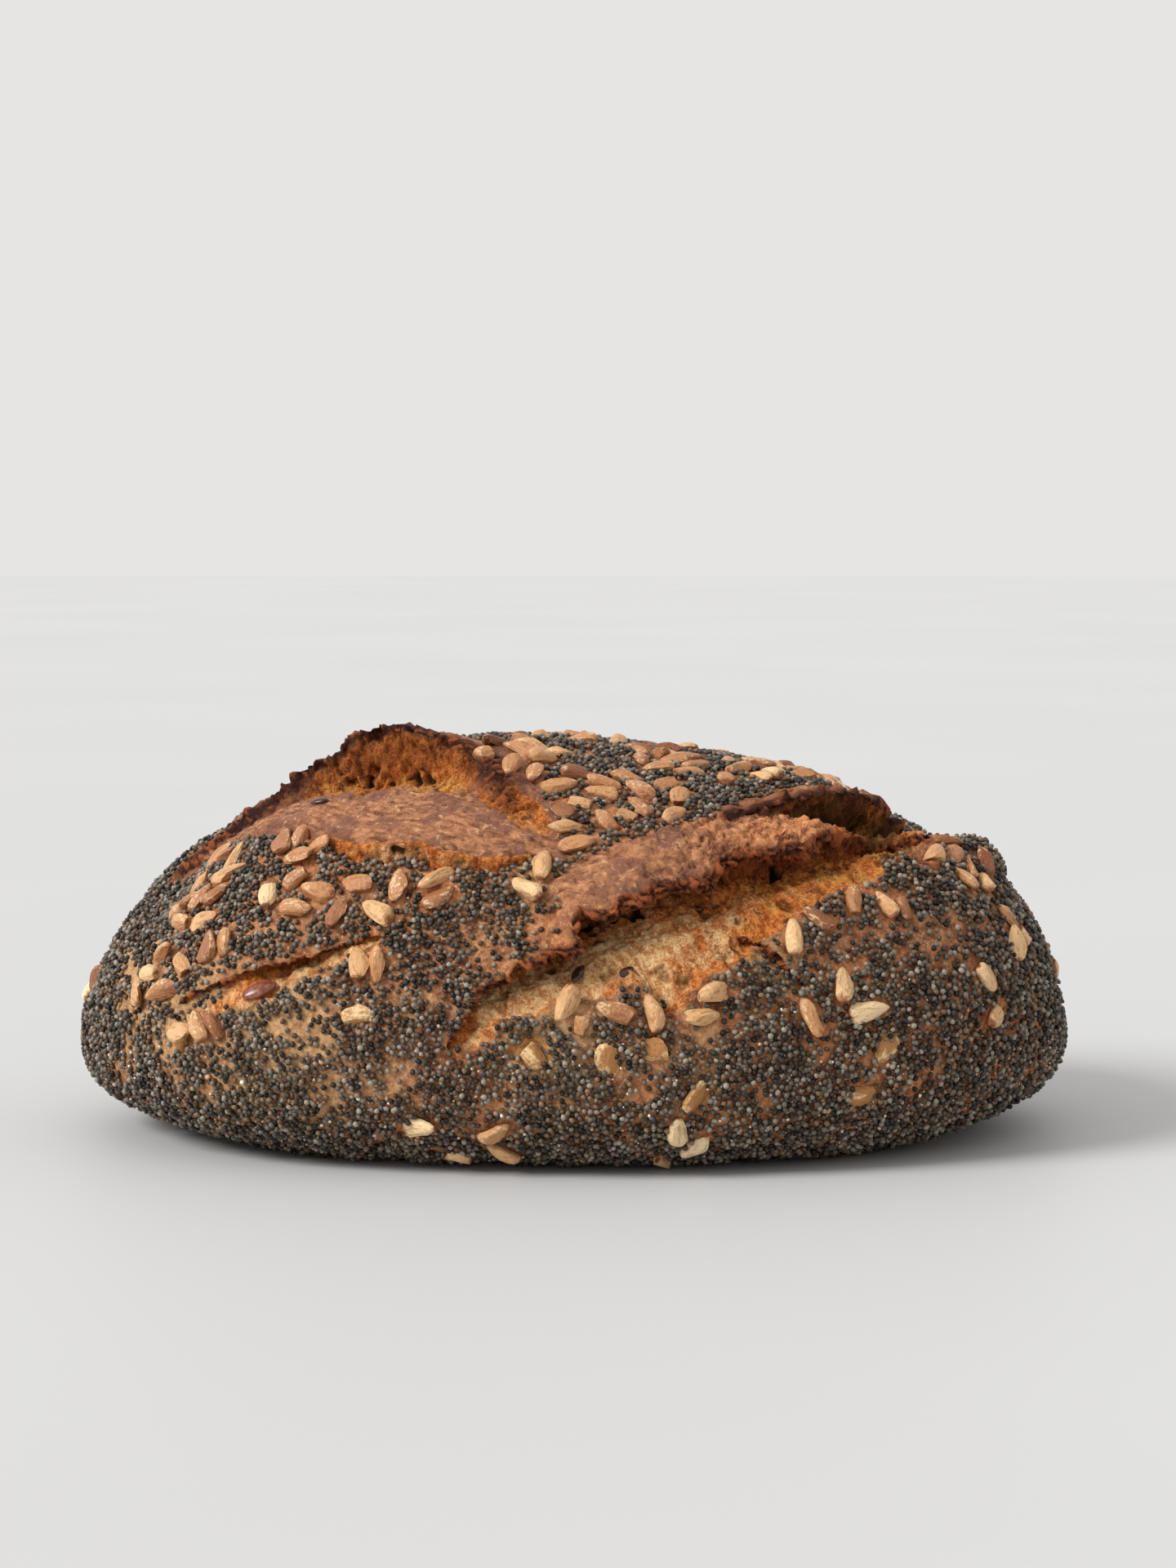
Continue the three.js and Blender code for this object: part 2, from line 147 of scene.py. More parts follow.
EAR_BAND = [
    (-82, 4, 63, 3, 3, 0.5, 0.5, 0, 1, 0, 0),
    (-71, -12, 68, 4, 6, 1, 0.7, 0, 1, 0, 0),
    (-60, -28, 72, 8, 15, 1, 1, 0, 1, 0.1, 0),
    (-50, -41, 71, 8, 16, 2, 1.5, 0, 1, 0.5, 0),
    (-40, -47, 70, 8, 16, 3, 2.5, 0, 1, 1, 0),
    (-30, -50, 70, 8, 15, 3, 2.5, 0, 1, 1, 0),
    (-20, -53, 68, 7, 15, 3, 2, 0, 1, 1, 0),
    (-10, -55, 67, 5, 9, 2, 1.5, 0, 1, 1, 0),
    (-2, -57, 66, 2, 3, 1, 0.5, 0, 0.8, 0.8, 0),
]
CRUMB_CUT = [
    (-20, -72, 40, 8, 6, 4, 1.5, 3, 0, 1, 0.8),
    (-9, -70, 47, 13, 9, 9, 2, 6, 0.1, 1, 1),
    (6, -66, 56, 21, 12, 11, 2.5, 8, 0.8, 1, 1),
    (16, -63, 59, 24, 14, 10, 3, 8, 1, 1, 1),
    (35, -56, 64, 17, 15, 9, 2.5, 7, 1, 1, 1),
    (53, -46, 67, 12, 11, 7, 2, 3, 1, 1, 1),
    (66, -34, 68, 8, 9, 4, 1.5, 1, 1, 0.8, 0.8),
    (79, -21, 66, 3, 5, 1, 0.5, 0, 0.8, 0.2, 0),
]
BACK_CUT = [
    (33, -43, 72, 2, 2, 0.5, 0.5, 0, 0.8, 0, 0),
    (44, -36, 73, 6, 3, 2, 1, 1, 1, 0.2, 0.5),
    (53, -29, 74, 16, 3, 9, 1.5, 3, 1, 0.8, 1),
    (62, -20, 73, 19, 3, 11, 1.5, 3, 1, 0.8, 1),
    (71, -10, 70, 12, 3, 6, 1, 1, 1, 0.4, 0.8),
    (79, -2, 66, 3, 2, 1, 0.5, 0, 0.8, 0, 0),
]
LEFT_SLIT = [
    (-82, -52, 34, 5, 3, 1, 0.3, 0, 0, 0.5, 0.2),
    (-70, -58, 40, 7, 4, 2, 0.5, 1, 0.2, 0.8, 0.6),
    (-60, -61, 44, 5, 5, 4, 0.7, 2.5, 0.3, 1, 1),
    (-42, -65, 50, 2, 3, 1, 0.4, 1, 0, 0.6, 0.6),
]
FRONT_CRACK = [
    (36, -66, 50, 3, 4, 2, 1, 1, 0.2, 0.4, 0.4),
    (42, -67, 45, 3, 3, 2, 1, 1, 0.2, 0.4, 0.3),
    (48, -68, 39, 2, 2, 1, 0.5, 0, 0, 0.2, 0.1),
]
TURNED_EDGE = [
    (-25, -74, 28, 4, 3, 1, 0.5, 0, 0, 0.4, 0.4),
    (-22, -74, 34, 6, 4, 3, 1, 2, 0, 0.8, 0.8),
    (-19, -73, 43, 5, 4, 2, 1, 2, 0, 0.6, 0.6),
]

# Cross-sections: place across the cut as a share of the width opened on that side, then the shift to
# the low side as a share of the lap, the height as shares of depth and lift, and how far each place
# is torn crumb, bare crust and browned edge; on torn crumb under a lip the browned edge paints shade
LAPPED_SECTION = [
    (-1.4, 0, 0, 0, 0, 0, 0),
    (-1.08, 0, 0, 0.12, 0, 0, 0.1),
    (-1, 0, -0.04, 0.12, 0.3, 0, 0.4),
    (-0.88, 0, -0.32, 0, 1, 0, 0.1),
    (-0.45, 0, -0.58, 0, 1, 0, 0),
    (-0.1, -0.1, -1, 0, 1, 0, 0.25),
    (0.06, -0.35, -1.05, 0, 1, 0, 0.6),
    (0.18, 0.1, -0.6, 0, 0.9, 0, 0.8),
    (0.26, 0.75, -0.18, 0.1, 0.5, 0, 1),
    (0.32, 1, 0, 0.6, 0.1, 0, 1),
    (0.38, 0.98, 0, 0.95, 0, 0.4, 0.9),
    (0.48, 0.88, 0, 1, 0, 0.9, 0.35),
    (0.62, 0.68, 0, 0.85, 0, 1, 0.1),
    (0.8, 0.38, 0, 0.55, 0, 1, 0),
    (1, 0.15, 0, 0.25, 0, 1, 0),
    (1.12, 0.08, 0, 0.15, 0, 0, 0),
    (1.4, 0, 0, 0, 0, 0, 0),
]
EARED_SECTION = [
    (-1.3, 0, 0, 0, 0, 0, 0),
    (-1.08, 0, 0, 0, 0, 0.9, 0),
    (-0.92, 0, -0.06, 0, 0.4, 0.8, 0),
    (-0.72, 0, -0.2, 0, 0.9, 0.5, 0),
    (-0.42, -0.2, -0.6, 0, 1, 0.4, 0),
    (-0.15, -0.5, -1, 0, 1, 0.4, 0.1),
    (0.15, -0.55, -0.9, 0.05, 1, 0.4, 0.15),
    (0.5, -0.15, -0.4, 0.3, 1, 0.4, 0.7),
    (0.85, 0.3, 0, 0.8, 0.6, 0.4, 0.9),
    (1, 0.5, 0, 1, 0, 0.6, 1),
    (1.2, 0.4, 0, 1, 0, 1, 0.8),
    (1.7, 0.2, 0, 0.75, 0, 1, 0.45),
    (2.3, 0.1, 0, 0.4, 0, 0.8, 0.15),
    (3.2, 0, 0, 0, 0, 0, 0),
]
STEPPED_SECTION = [
    (-1.4, 0, 0, 0, 0, 0, 0),
    (-1.12, 0, -0.1, 0, 0, 0, 0.2),
    (-1, 0, -0.6, 0, 0.9, 0, 0.3),
    (-0.92, 0, -0.2, 0.1, 1, 0.2, 0),
    (-0.8, 0, 0, 0.8, 0.8, 0.6, 0.2),
    (-0.7, 0, 0, 1, 0, 1, 0.4),
    (-0.5, 0, 0, 0.95, 0, 1, 0),
    (0.1, 0, 0, 0.6, 0, 1, 0),
    (0.6, 0, 0, 0.2, 0, 1, 0),
    (1, 0, 0, 0, 0, 1, 0),
    (1.3, 0, 0, 0, 0, 0, 0),
]
TORN_SECTION = [
    (-1.3, 0, 0, 0, 0, 0, 0),
    (-1, 0, -0.2, 0, 0.3, 0.9, 0),
    (-0.5, 0, -0.9, 0, 0.9, 0.6, 0),
    (0.1, 0, -1, 0, 1, 0.6, 0.1),
    (0.6, 0, -0.4, 0.4, 0.9, 0.6, 0.2),
    (0.9, 0, 0, 1, 0.3, 0.9, 0.3),
    (1.3, 0, 0, 0.6, 0, 0.9, 0.1),
    (1.8, 0, 0, 0, 0, 0, 0),
]


def smooth_line(rows, count):
    """Rounded line through the rows, carried straight on past its ends."""
    rows = np.asarray(rows, float)
    ends = np.vstack((2 * rows[0] - rows[1], rows, 2 * rows[-1] - rows[-2]))
    place = np.linspace(0, len(rows) - 1, count)
    low = np.minimum(place.astype(int), len(rows) - 2)
    t = (place - low)[:, None]
    before, start, stop, after = (ends[low + step] for step in range(4))
    line = 2 * start + (stop - before) * t
    line += (2 * before - 5 * start + 4 * stop - after) * t ** 2
    line += (3 * start - before - 3 * stop + after) * t ** 3
    return line / 2


def ripple(points, size, seed=0.0):
    """Smooth noise between -1 and 1 at each point, with features of the given size."""
    return np.array([noise.noise(Vector(place)) for place in points / size + seed])


class Cut:
    """A cut's line on the crust with its sizes along it, frayed at the lip as torn crust is. Blunt is
    how far it runs out past its ends, pocket how deep its holes are, and toast how brown its crumb."""

    SAMPLES = 480
    BLOCK = 20000

    def __init__(self, stations, section, seed, blunt, pocket, toast):
        stations = np.asarray(stations, float)
        self.line = smooth_line(crust(from_base(stations)), self.SAMPLES)
        sizes = smooth_line(stations[:, 3:], self.SAMPLES)
        self.along = unit(np.gradient(self.line, axis=0))
        steps = lengths(np.diff(self.line, axis=0))
        self.arc = np.concatenate(((0.0,), np.cumsum(steps)))
        trail = np.column_stack((self.arc, np.full(self.SAMPLES, seed), np.zeros(self.SAMPLES)))
        fray = 0.6 * ripple(trail, 11.3, 0.3) + 0.6 * ripple(trail, 5.3, 0.7)
        edge = 0.8 * ripple(trail, 8.7, 5.3) + 0.3 * ripple(trail, 2.1, 9.1)
        uneven = ripple(trail, 9.7, 3.1)
        sizes[:, [0, 2, 3, 4]] *= 1 + np.column_stack((0.35 * edge, 0.3 * uneven, 0.2 * fray, 0.9 * fray))
        self.sizes = sizes
        self.section = np.asarray(section)
        self.seed, self.blunt, self.pocket, self.toast = seed, blunt, pocket, toast

    def follow(self, points, normals):
        """Nearest place along the cut, way up its side, place across it, and fade past its ends."""
        nearest = np.empty(len(points), int)
        for start in range(0, len(points), self.BLOCK):
            block = slice(start, start + self.BLOCK)
            far = (self.line ** 2).sum(axis=1) - 2 * points[block] @ self.line.T
            nearest[block] = far.argmin(axis=1)
        along = self.along[nearest]
        side = unit(np.cross(normals, along))
        away = points - self.line[nearest]
        offset = np.sign((away * side).sum(axis=1)) * lengths(away)
        below, above = self.sizes[nearest, 0], self.sizes[nearest, 1]
        share = offset / np.where(offset < 0, below, above)
        beyond = np.abs((away * along).sum(axis=1)) / self.blunt
        return nearest, side, share, np.clip(1 - beyond, 0, 1)

    def read(self, share):
        """Rows of the cross-section at each place across, eased without overshoot."""
        knots, values = self.section[:, 0], self.section[:, 1:]
        step = np.diff(knots)[:, None]
        rise = np.diff(values, axis=0) / step
        same = rise[:-1] * rise[1:] > 0
        slopes = np.zeros_like(values)
        total = np.where(same, rise[:-1] + rise[1:], 1.0)
        slopes[1:-1] = np.where(same, 2 * rise[:-1] * rise[1:] / total, 0.0)
        place = np.clip(share, knots[0], knots[-1])
        low = np.clip(np.searchsorted(knots, place, side="right") - 1, 0, len(knots) - 2)
        t = ((place - knots[low]) / step[low, 0])[:, None]
        start = values[low] * (1 + 2 * t) + slopes[low] * step[low] * t
        stop = values[low + 1] * (3 - 2 * t) - slopes[low + 1] * step[low] * (1 - t)
        return start * (1 - t) ** 2 + stop * t ** 2


EAR_TOAST = 0.9
back_cut = Cut(BACK_CUT, EARED_SECTION, 37.0, 8.0, 2.4, EAR_TOAST)
CUTS = [
    Cut(EAR_CUT, EARED_SECTION, 11.0, 8.0, 2.4, EAR_TOAST),
    Cut(EAR_BAND, STEPPED_SECTION, 17.0, 8.0, 1.3, 0.6),
    Cut(EAR_TEAR, TORN_SECTION, 29.0, 5.0, 0.8, 0.45),
    Cut(CRUMB_CUT, LAPPED_SECTION, 23.0, 4.0, 0.7, 0.0),
    back_cut,
    Cut(LEFT_SLIT, LAPPED_SECTION, 41.0, 6.0, 0.6, 0.2),
    Cut(FRONT_CRACK, LAPPED_SECTION, 53.0, 5.0, 0.6, 0.5),
    Cut(TURNED_EDGE, LAPPED_SECTION, 67.0, 5.0, 0.6, 0.2),
]


def skin(directions):
    """Baked skin in each direction: its place, how far it is crumb, bare crust and browned edge, and
    where it lies along and across its cut, with that cut's seed, pocket and toast."""
    flat = crust(directions)
    normals = dome_normal(flat)
    points = flat.copy()
    looks = np.zeros((len(points), 3))
    lay = np.zeros((len(points), 5))
    for cut in CUTS:
        nearest, side, share, fade = cut.follow(flat, normals)
        depth, lift, lap, bare, low, high = cut.sizes[nearest, 2:].T
        lapped, deep, lifted, torn, bald, brown = cut.read(share).T
        points -= side * (lapped * lap * fade)[:, None]
        points += normals * ((deep * depth + lifted * lift) * fade)[:, None]
        crumb = torn * np.where(share < -0.5, low, high) * fade
        skinned = np.maximum(bald * bare, torn * bare) * fade
        marks = np.column_stack((crumb, np.clip(skinned - crumb, 0, 1), brown * fade))
        inside = marks.max(axis=1) > looks.max(axis=1)
        spread = share * np.where(share < 0, cut.sizes[nearest, 0], cut.sizes[nearest, 1])
        place = np.column_stack((cut.arc[nearest], spread, np.full(len(points), cut.seed)))
        lay[inside, :3] = place[inside]
        lay[inside, 3:] = cut.pocket, cut.toast
        looks = np.maximum(looks, marks)
    points[:, 2] = np.maximum(points[:, 2], -WAIST) + WAIST
    return points, looks, lay


def near_cut(points, limit):
    """Which points of the crust lie within a share of the width that any cut opened."""
    normals = dome_normal(points)
    close = np.zeros(len(points), bool)
    for cut in CUTS:
        _, _, share, fade = cut.follow(points, normals)
        close |= (fade > 0) & (np.abs(share) < limit)
    return close


BALL_SPLITS = 7
FINER_RIMS = (1.3, 1.06)


def bread_mesh():
    """Ball of directions, split finer towards the cuts, with its corners moved to the baked skin."""
    shape = bmesh.new()
    bmesh.ops.create_icosphere(shape, subdivisions=BALL_SPLITS, radius=1.0)
    bmesh.ops.scale(shape, vec=(LENGTH, DEPTH, 2 * RISE), verts=shape.verts)
    for rim in FINER_RIMS:
        directions = np.array([corner.co for corner in shape.verts])
        close = near_cut(crust(directions), rim)
        shape.verts.index_update()
        edges = [edge for edge in shape.edges if all(close[end.index] for end in edge.verts)]
        bmesh.ops.subdivide_edges(shape, edges=edges, cuts=1, use_grid_fill=True)
        bmesh.ops.triangulate(shape, faces=shape.faces)
    directions = np.array([corner.co for corner in shape.verts])
    points, looks, lay = skin(directions)
    mesh = bpy.data.meshes.new("bread")
    shape.to_mesh(mesh)
    shape.free()
    place_corners(mesh, points)
    return mesh, points, looks, lay


def place_corners(mesh, points):
    mesh.vertices.foreach_set("co", (points * MM).astype(np.float32).ravel())
    mesh.update()


def in_threes(items, name, kind=np.float32):
    """Three numbers of each item, such as a corner's place or a triangle's corners."""
    values = np.empty(len(items) * 3, kind)
    items.foreach_get(name, values)
    return values.reshape(-1, 3)


def add_marks(mesh, **marks):
    """Numbers or places for each corner, which the piece's material reads by name."""
    for name, values in marks.items():
        values = np.asarray(values, np.float32)
        kind, slot = ("FLOAT", "value") if values.ndim == 1 else ("FLOAT_VECTOR", "vector")
        mesh.attributes.new(name, kind, "POINT").data.foreach_set(slot, values.ravel())


def ridges(points, size, seed=0.0):
    """Noise with sharp crests, between about -1 and 1."""
    return 1 - 3 * np.abs(ripple(points, size, seed))


def flakes(points, size, seed=0.0):
    """Flakes of about the given size: one number from -1 to 1 for each, and 1 in the cracks between."""
    chips, cracks = np.empty(len(points)), np.empty(len(points))
    for number, place in enumerate(points / size + seed):
        away, middles = noise.voronoi(Vector(place))
        chips[number] = math.sin(middles[0].dot((12.9, 78.2, 37.7)) * 5.3)
        cracks[number] = away[1] - away[0]
    return chips, np.clip(1 - cracks / 0.2, 0, 1)


# Scars: smooth amber skins where a kernel came away, as place on the dome, length and width
SCARS = [
    ((-45, -70, 34), 7, 5),
    ((-9, -75, 27), 9, 7),
    ((7, -75, 25), 7, 6),
    ((25, -73, 18), 8, 6),
    ((60, -65, 16), 7, 6),
    ((17, -74, 27), 6, 4),
    ((-82, -52, 26), 7, 5),
    ((64, -62, 26), 6, 5),
]


def scarred(points):
    scar = np.zeros(len(points))
    for place, long, wide in SCARS:
        away = np.abs(points - place) / (long / 2, long / 2, wide / 2)
        scar = np.maximum(scar, np.clip(3 - 2.5 * lengths(away), 0, 1))
    return scar


def rightward(points, start, over):
    """From 0 to 1 going right along the loaf, from a start and over a distance."""
    return np.clip((points[:, 0] - start) / over, 0, 1)


def clumping(points):
    """Where the seeds lie thick, above 0, and thin, below 0: clumps a few millimetres across."""
    clumps = 0.5 * ripple(points, 5.2, 2.2) + 0.6 * ripple(points, 2.4, 5.1)
    return clumps + 0.35 * ripple(points, 13.0, 7.7)


def roughen(mesh, points, looks, lay):
    """Relief of the baked surface: uneven dough, torn strands and holes, flaky lips, fine blisters.
    Returns how deep each corner lies in a hole, which flake it is on, and how near a crack it is."""
    rough = np.flatnonzero(looks.max(axis=1) > 0.02)
    torn, bare, brown = looks[rough].T
    near, way, pocket, toast = points[rough], lay[rough, :3], lay[rough, 3], lay[rough, 4]
    strands = ripple(way, (1.3, 5.0, 1.0)) + 0.6 * ripple(way, (0.8, 2.5, 1.0), 4.0)
    heave = ripple(near, 5.5, 6.4)
    grain = ripple(near, 1.2, 7.0) + 0.6 * ripple(near, 0.6, 8.0)
    pits = np.clip(ripple(near, 4.6, 1.5) + 0.6 * ripple(near, 1.8, 2.7) - 0.28, 0, 0.4) / 0.4
    pocket = pocket + 3.0 * np.clip(brown * torn, 0, 0.5) * (1 - toast)
    streaks = ripple(way, (7.0, 1.3, 1.0), 3.3) + 0.5 * ripple(way, (3.0, 0.7, 1.0), 5.9)
    chip, crack = flakes(near, (2.6, 1.8, 1.4), 5.0)
    craggy = rightward(near, 4, 20)
    crags = ridges(way, (14.0, 3.0, 1.0), 3.9) + 0.7 * ridges(way, (4.4, 1.4, 1.0), 6.1)
    push = 0.35 * ripple(points, 7.0) + 0.2 * ripple(points, 2.4, 3.0)
    push += 0.8 * np.clip(clumping(points), -0.3, 0.4)
    layers = way[:, 1] / 3.4 + 1.6 * ripple(way, (7.0, 4.0, 1.0), 2.2) + 0.6 * ripple(near, 2.6, 4.4)
    lumps = toast * (ripple(near, 2.4, 11.0) + 0.8 * ridges(near, 3.6, 12.0))
    crumb = 0.35 * (1 - toast) * strands + 0.45 * grain + 0.9 * heave + 0.6 * lumps - pocket * pits
    push[rough] += torn * crumb
    push[rough] += (np.mod(layers, 1) - 0.5) * (0.6 * brown + bare * craggy)
    push[rough] += brown * (0.45 * chip - 0.6 * crack + 0.45 * grain)
    push[rough] += bare * (0.2 * streaks + 0.14 * chip - 0.2 * crack + 0.15 * grain)
    push[rough] += bare * craggy * (0.75 * crags + 0.3 * chip - 0.4 * crack)
    push -= 0.5 * scarred(points)
    shift = in_threes(mesh.vertex_normals, "vector") * push[:, None]
    for axis in range(3):
        ragged = ripple(near, 2.8, 20 + 9.1 * axis) + 0.7 * ripple(near, 1.3, 50 + 7.7 * axis)
        shift[rough, axis] += ragged * (0.7 * brown + 0.5 * bare * craggy)
    place_corners(mesh, points + shift * np.clip(points[:, 2:] / 4.0, 0, 1))
    marks = np.zeros((len(points), 3))
    marks[rough] = np.column_stack((torn * pits * np.clip(pocket / 1.5, 0, 1), chip, crack))
    return marks


bread_skin, bread_points, bread_looks, bread_lay = bread_mesh()
bread_relief = roughen(bread_skin, bread_points, bread_looks, bread_lay)
bread_names = ("torn", "bare", "brown", "deep", "chip", "crack")
bread_toast = bread_lay[:, 4]
add_marks(bread_skin, **dict(zip(bread_names, np.hstack((bread_looks, bread_relief)).T)))
add_marks(
    bread_skin,
    scar=scarred(bread_points),
    toast=bread_toast + np.minimum(rightward(bread_points, 16, 28), 0.8),
    rust=bread_looks[:, 1] * rightward(bread_points, 22, 25),
    ear=bread_toast == EAR_TOAST,
    back=bread_lay[:, 2] == back_cut.seed,
    lay=bread_lay[:, :3],
)

# Where crust shows between the seeds, as place on the dome, reach, how far the seeds thin out there
# and how tan the crust is
PALE_SPOTS = [
    ((-64, -64, 24), 26, 0.72, 0.9),
    ((-84, -52, 30), 18, 0.9, 0.9),
    ((-103, -22, 38), 28, 1.0, 1.0),
    ((-40, -70, 22), 16, 0.5, 0.5),
    ((-17, -66, 51), 12, 0.9, 0.4),
    ((-33, -69, 40), 12, 0.7, 0.4),
    ((-2, -75, 28), 20, 0.8, 0.7),
    ((25, -74, 24), 16, 0.6, 0.5),
    ((41, -66, 44), 10, 0.8, 0.6),
    ((-8, -60, 62), 14, 0.6, 0.5),
    ((77, -45, 47), 16, 0.85, 0.3),
    ((85, -42, 40), 14, 0.75, 0.2),
    ((73, -58, 30), 14, 0.75, 0.3),
    ((40, -70, 12), 20, 0.3, 0.3),
]


def pale_share(points, column):
    """How far a pale spot reaches each point, by the spots' first or second amount."""
    share = np.zeros(len(points))
    for place, reach, *amounts in PALE_SPOTS:
        far = lengths(points - place) / reach
        share = np.maximum(share, amounts[column] * np.exp(-far * far))
    return share


add_marks(bread_skin, pale=pale_share(bread_points, 1))


def colour(red, green, blue):
    """A colour given as it looks on a screen, from 0 to 255, as a shader wants it."""
    channels = []
    for value in (red / 255, green / 255, blue / 255):
        channels.append(value / 12.92 if value <= 0.04045 else ((value + 0.055) / 1.055) ** 2.4)
    return (*channels, 1.0)


def feed(node, sockets):
    """Sets or links a node's sockets, by name or number."""
    for name, value in sockets.items():
        if isinstance(value, Shade):
            value.tree.links.new(value.socket, node.inputs[name])
        else:
            node.inputs[name].default_value = value


class Shade:
    """One socket of a material, with arithmetic that adds the nodes it needs."""

    def __init__(self, tree, socket=None):
        self.tree = tree
        self.socket = socket

    def node(self, kind, settings=None, sockets=None, output=0):
        node = self.tree.nodes.new("ShaderNode" + kind)
        for name, value in (settings or {}).items():
            if name == "stops":
                self.set_stops(node.color_ramp, value)
            else:
                setattr(node, name, value)
        feed(node, sockets or {})
        return Shade(self.tree, node.outputs[output])

    @staticmethod
    def set_stops(ramp, stops):
        while len(ramp.elements) < len(stops):
            ramp.elements.new(0.5)
        for element, (place, tint) in zip(ramp.elements, stops):
            element.position = place
            element.color = colour(*tint)

    def math(self, operation, first, second):
        return self.node("Math", {"operation": operation}, {0: first, 1: second})

    def __add__(self, other):
        return self.math("ADD", self, other)

    __radd__ = __add__

    def __sub__(self, other):
        return self.math("SUBTRACT", self, other)

    def __rsub__(self, other):
        return self.math("SUBTRACT", other, self)

    def __mul__(self, other):
        return self.math("MULTIPLY", self, other)

    __rmul__ = __mul__

    def mark(self, name, output=2):
        """The number that the mesh carries at each corner under this name, or from output 1 the place."""
        return self.node("Attribute", {"attribute_name": name}, output=output)

    def grain(self, size, detail=3.0, rough=0.5, place=None, stretch=(1, 1, 1)):
        """Noise around 0.5 whose features are about this size, in metres unless a place is given."""
        place = place or self.node("TexCoord", output=3)
        turned = self.node("Mapping", sockets={"Vector": place, "Scale": stretch})
        settings = {"Vector": turned, "Scale": 1 / size, "Detail": detail, "Roughness": rough}
        return self.node("TexNoise", sockets=settings)

    def cells(self, size):
        """Distance from the middle of the nearest cell, of cells of about this size, bent by noise."""
        place = self.node("TexCoord", output=3)
        bent = self.node("TexNoise", sockets={"Vector": place, "Scale": 0.4 / size}, output=1)
        sockets = {0: bent, 1: (size,) * 3, 2: place}
        moved = self.node("VectorMath", {"operation": "MULTIPLY_ADD"}, sockets)
        return self.node("TexVoronoi", sockets={"Vector": moved, "Scale": 1 / size})

    def between(self, low, high):
        """This number spread so that low becomes 0 and high becomes 1, eased at both ends."""
        settings = {"interpolation_type": "SMOOTHSTEP"}
        return self.node("MapRange", settings, {"Value": self, "From Min": low, "From Max": high})

    def mix(self, first, second):
        """From the first colour to the second as this number goes from 0 to 1."""
        tints = [tint if isinstance(tint, Shade) else colour(*tint) for tint in (first, second)]
        return self.node("Mix", {"data_type": "RGBA"}, {0: self, 6: tints[0], 7: tints[1]}, output=2)

    def bump(self, distance, strength):
        """Relief of this height, in metres."""
        return self.node("Bump", {}, {"Height": self, "Distance": distance, "Strength": strength})


def new_material(name):
    material = bpy.data.materials.new(name)
    material.use_nodes = True
    tree = material.node_tree
    return material, Shade(tree), tree.nodes["Principled BSDF"]


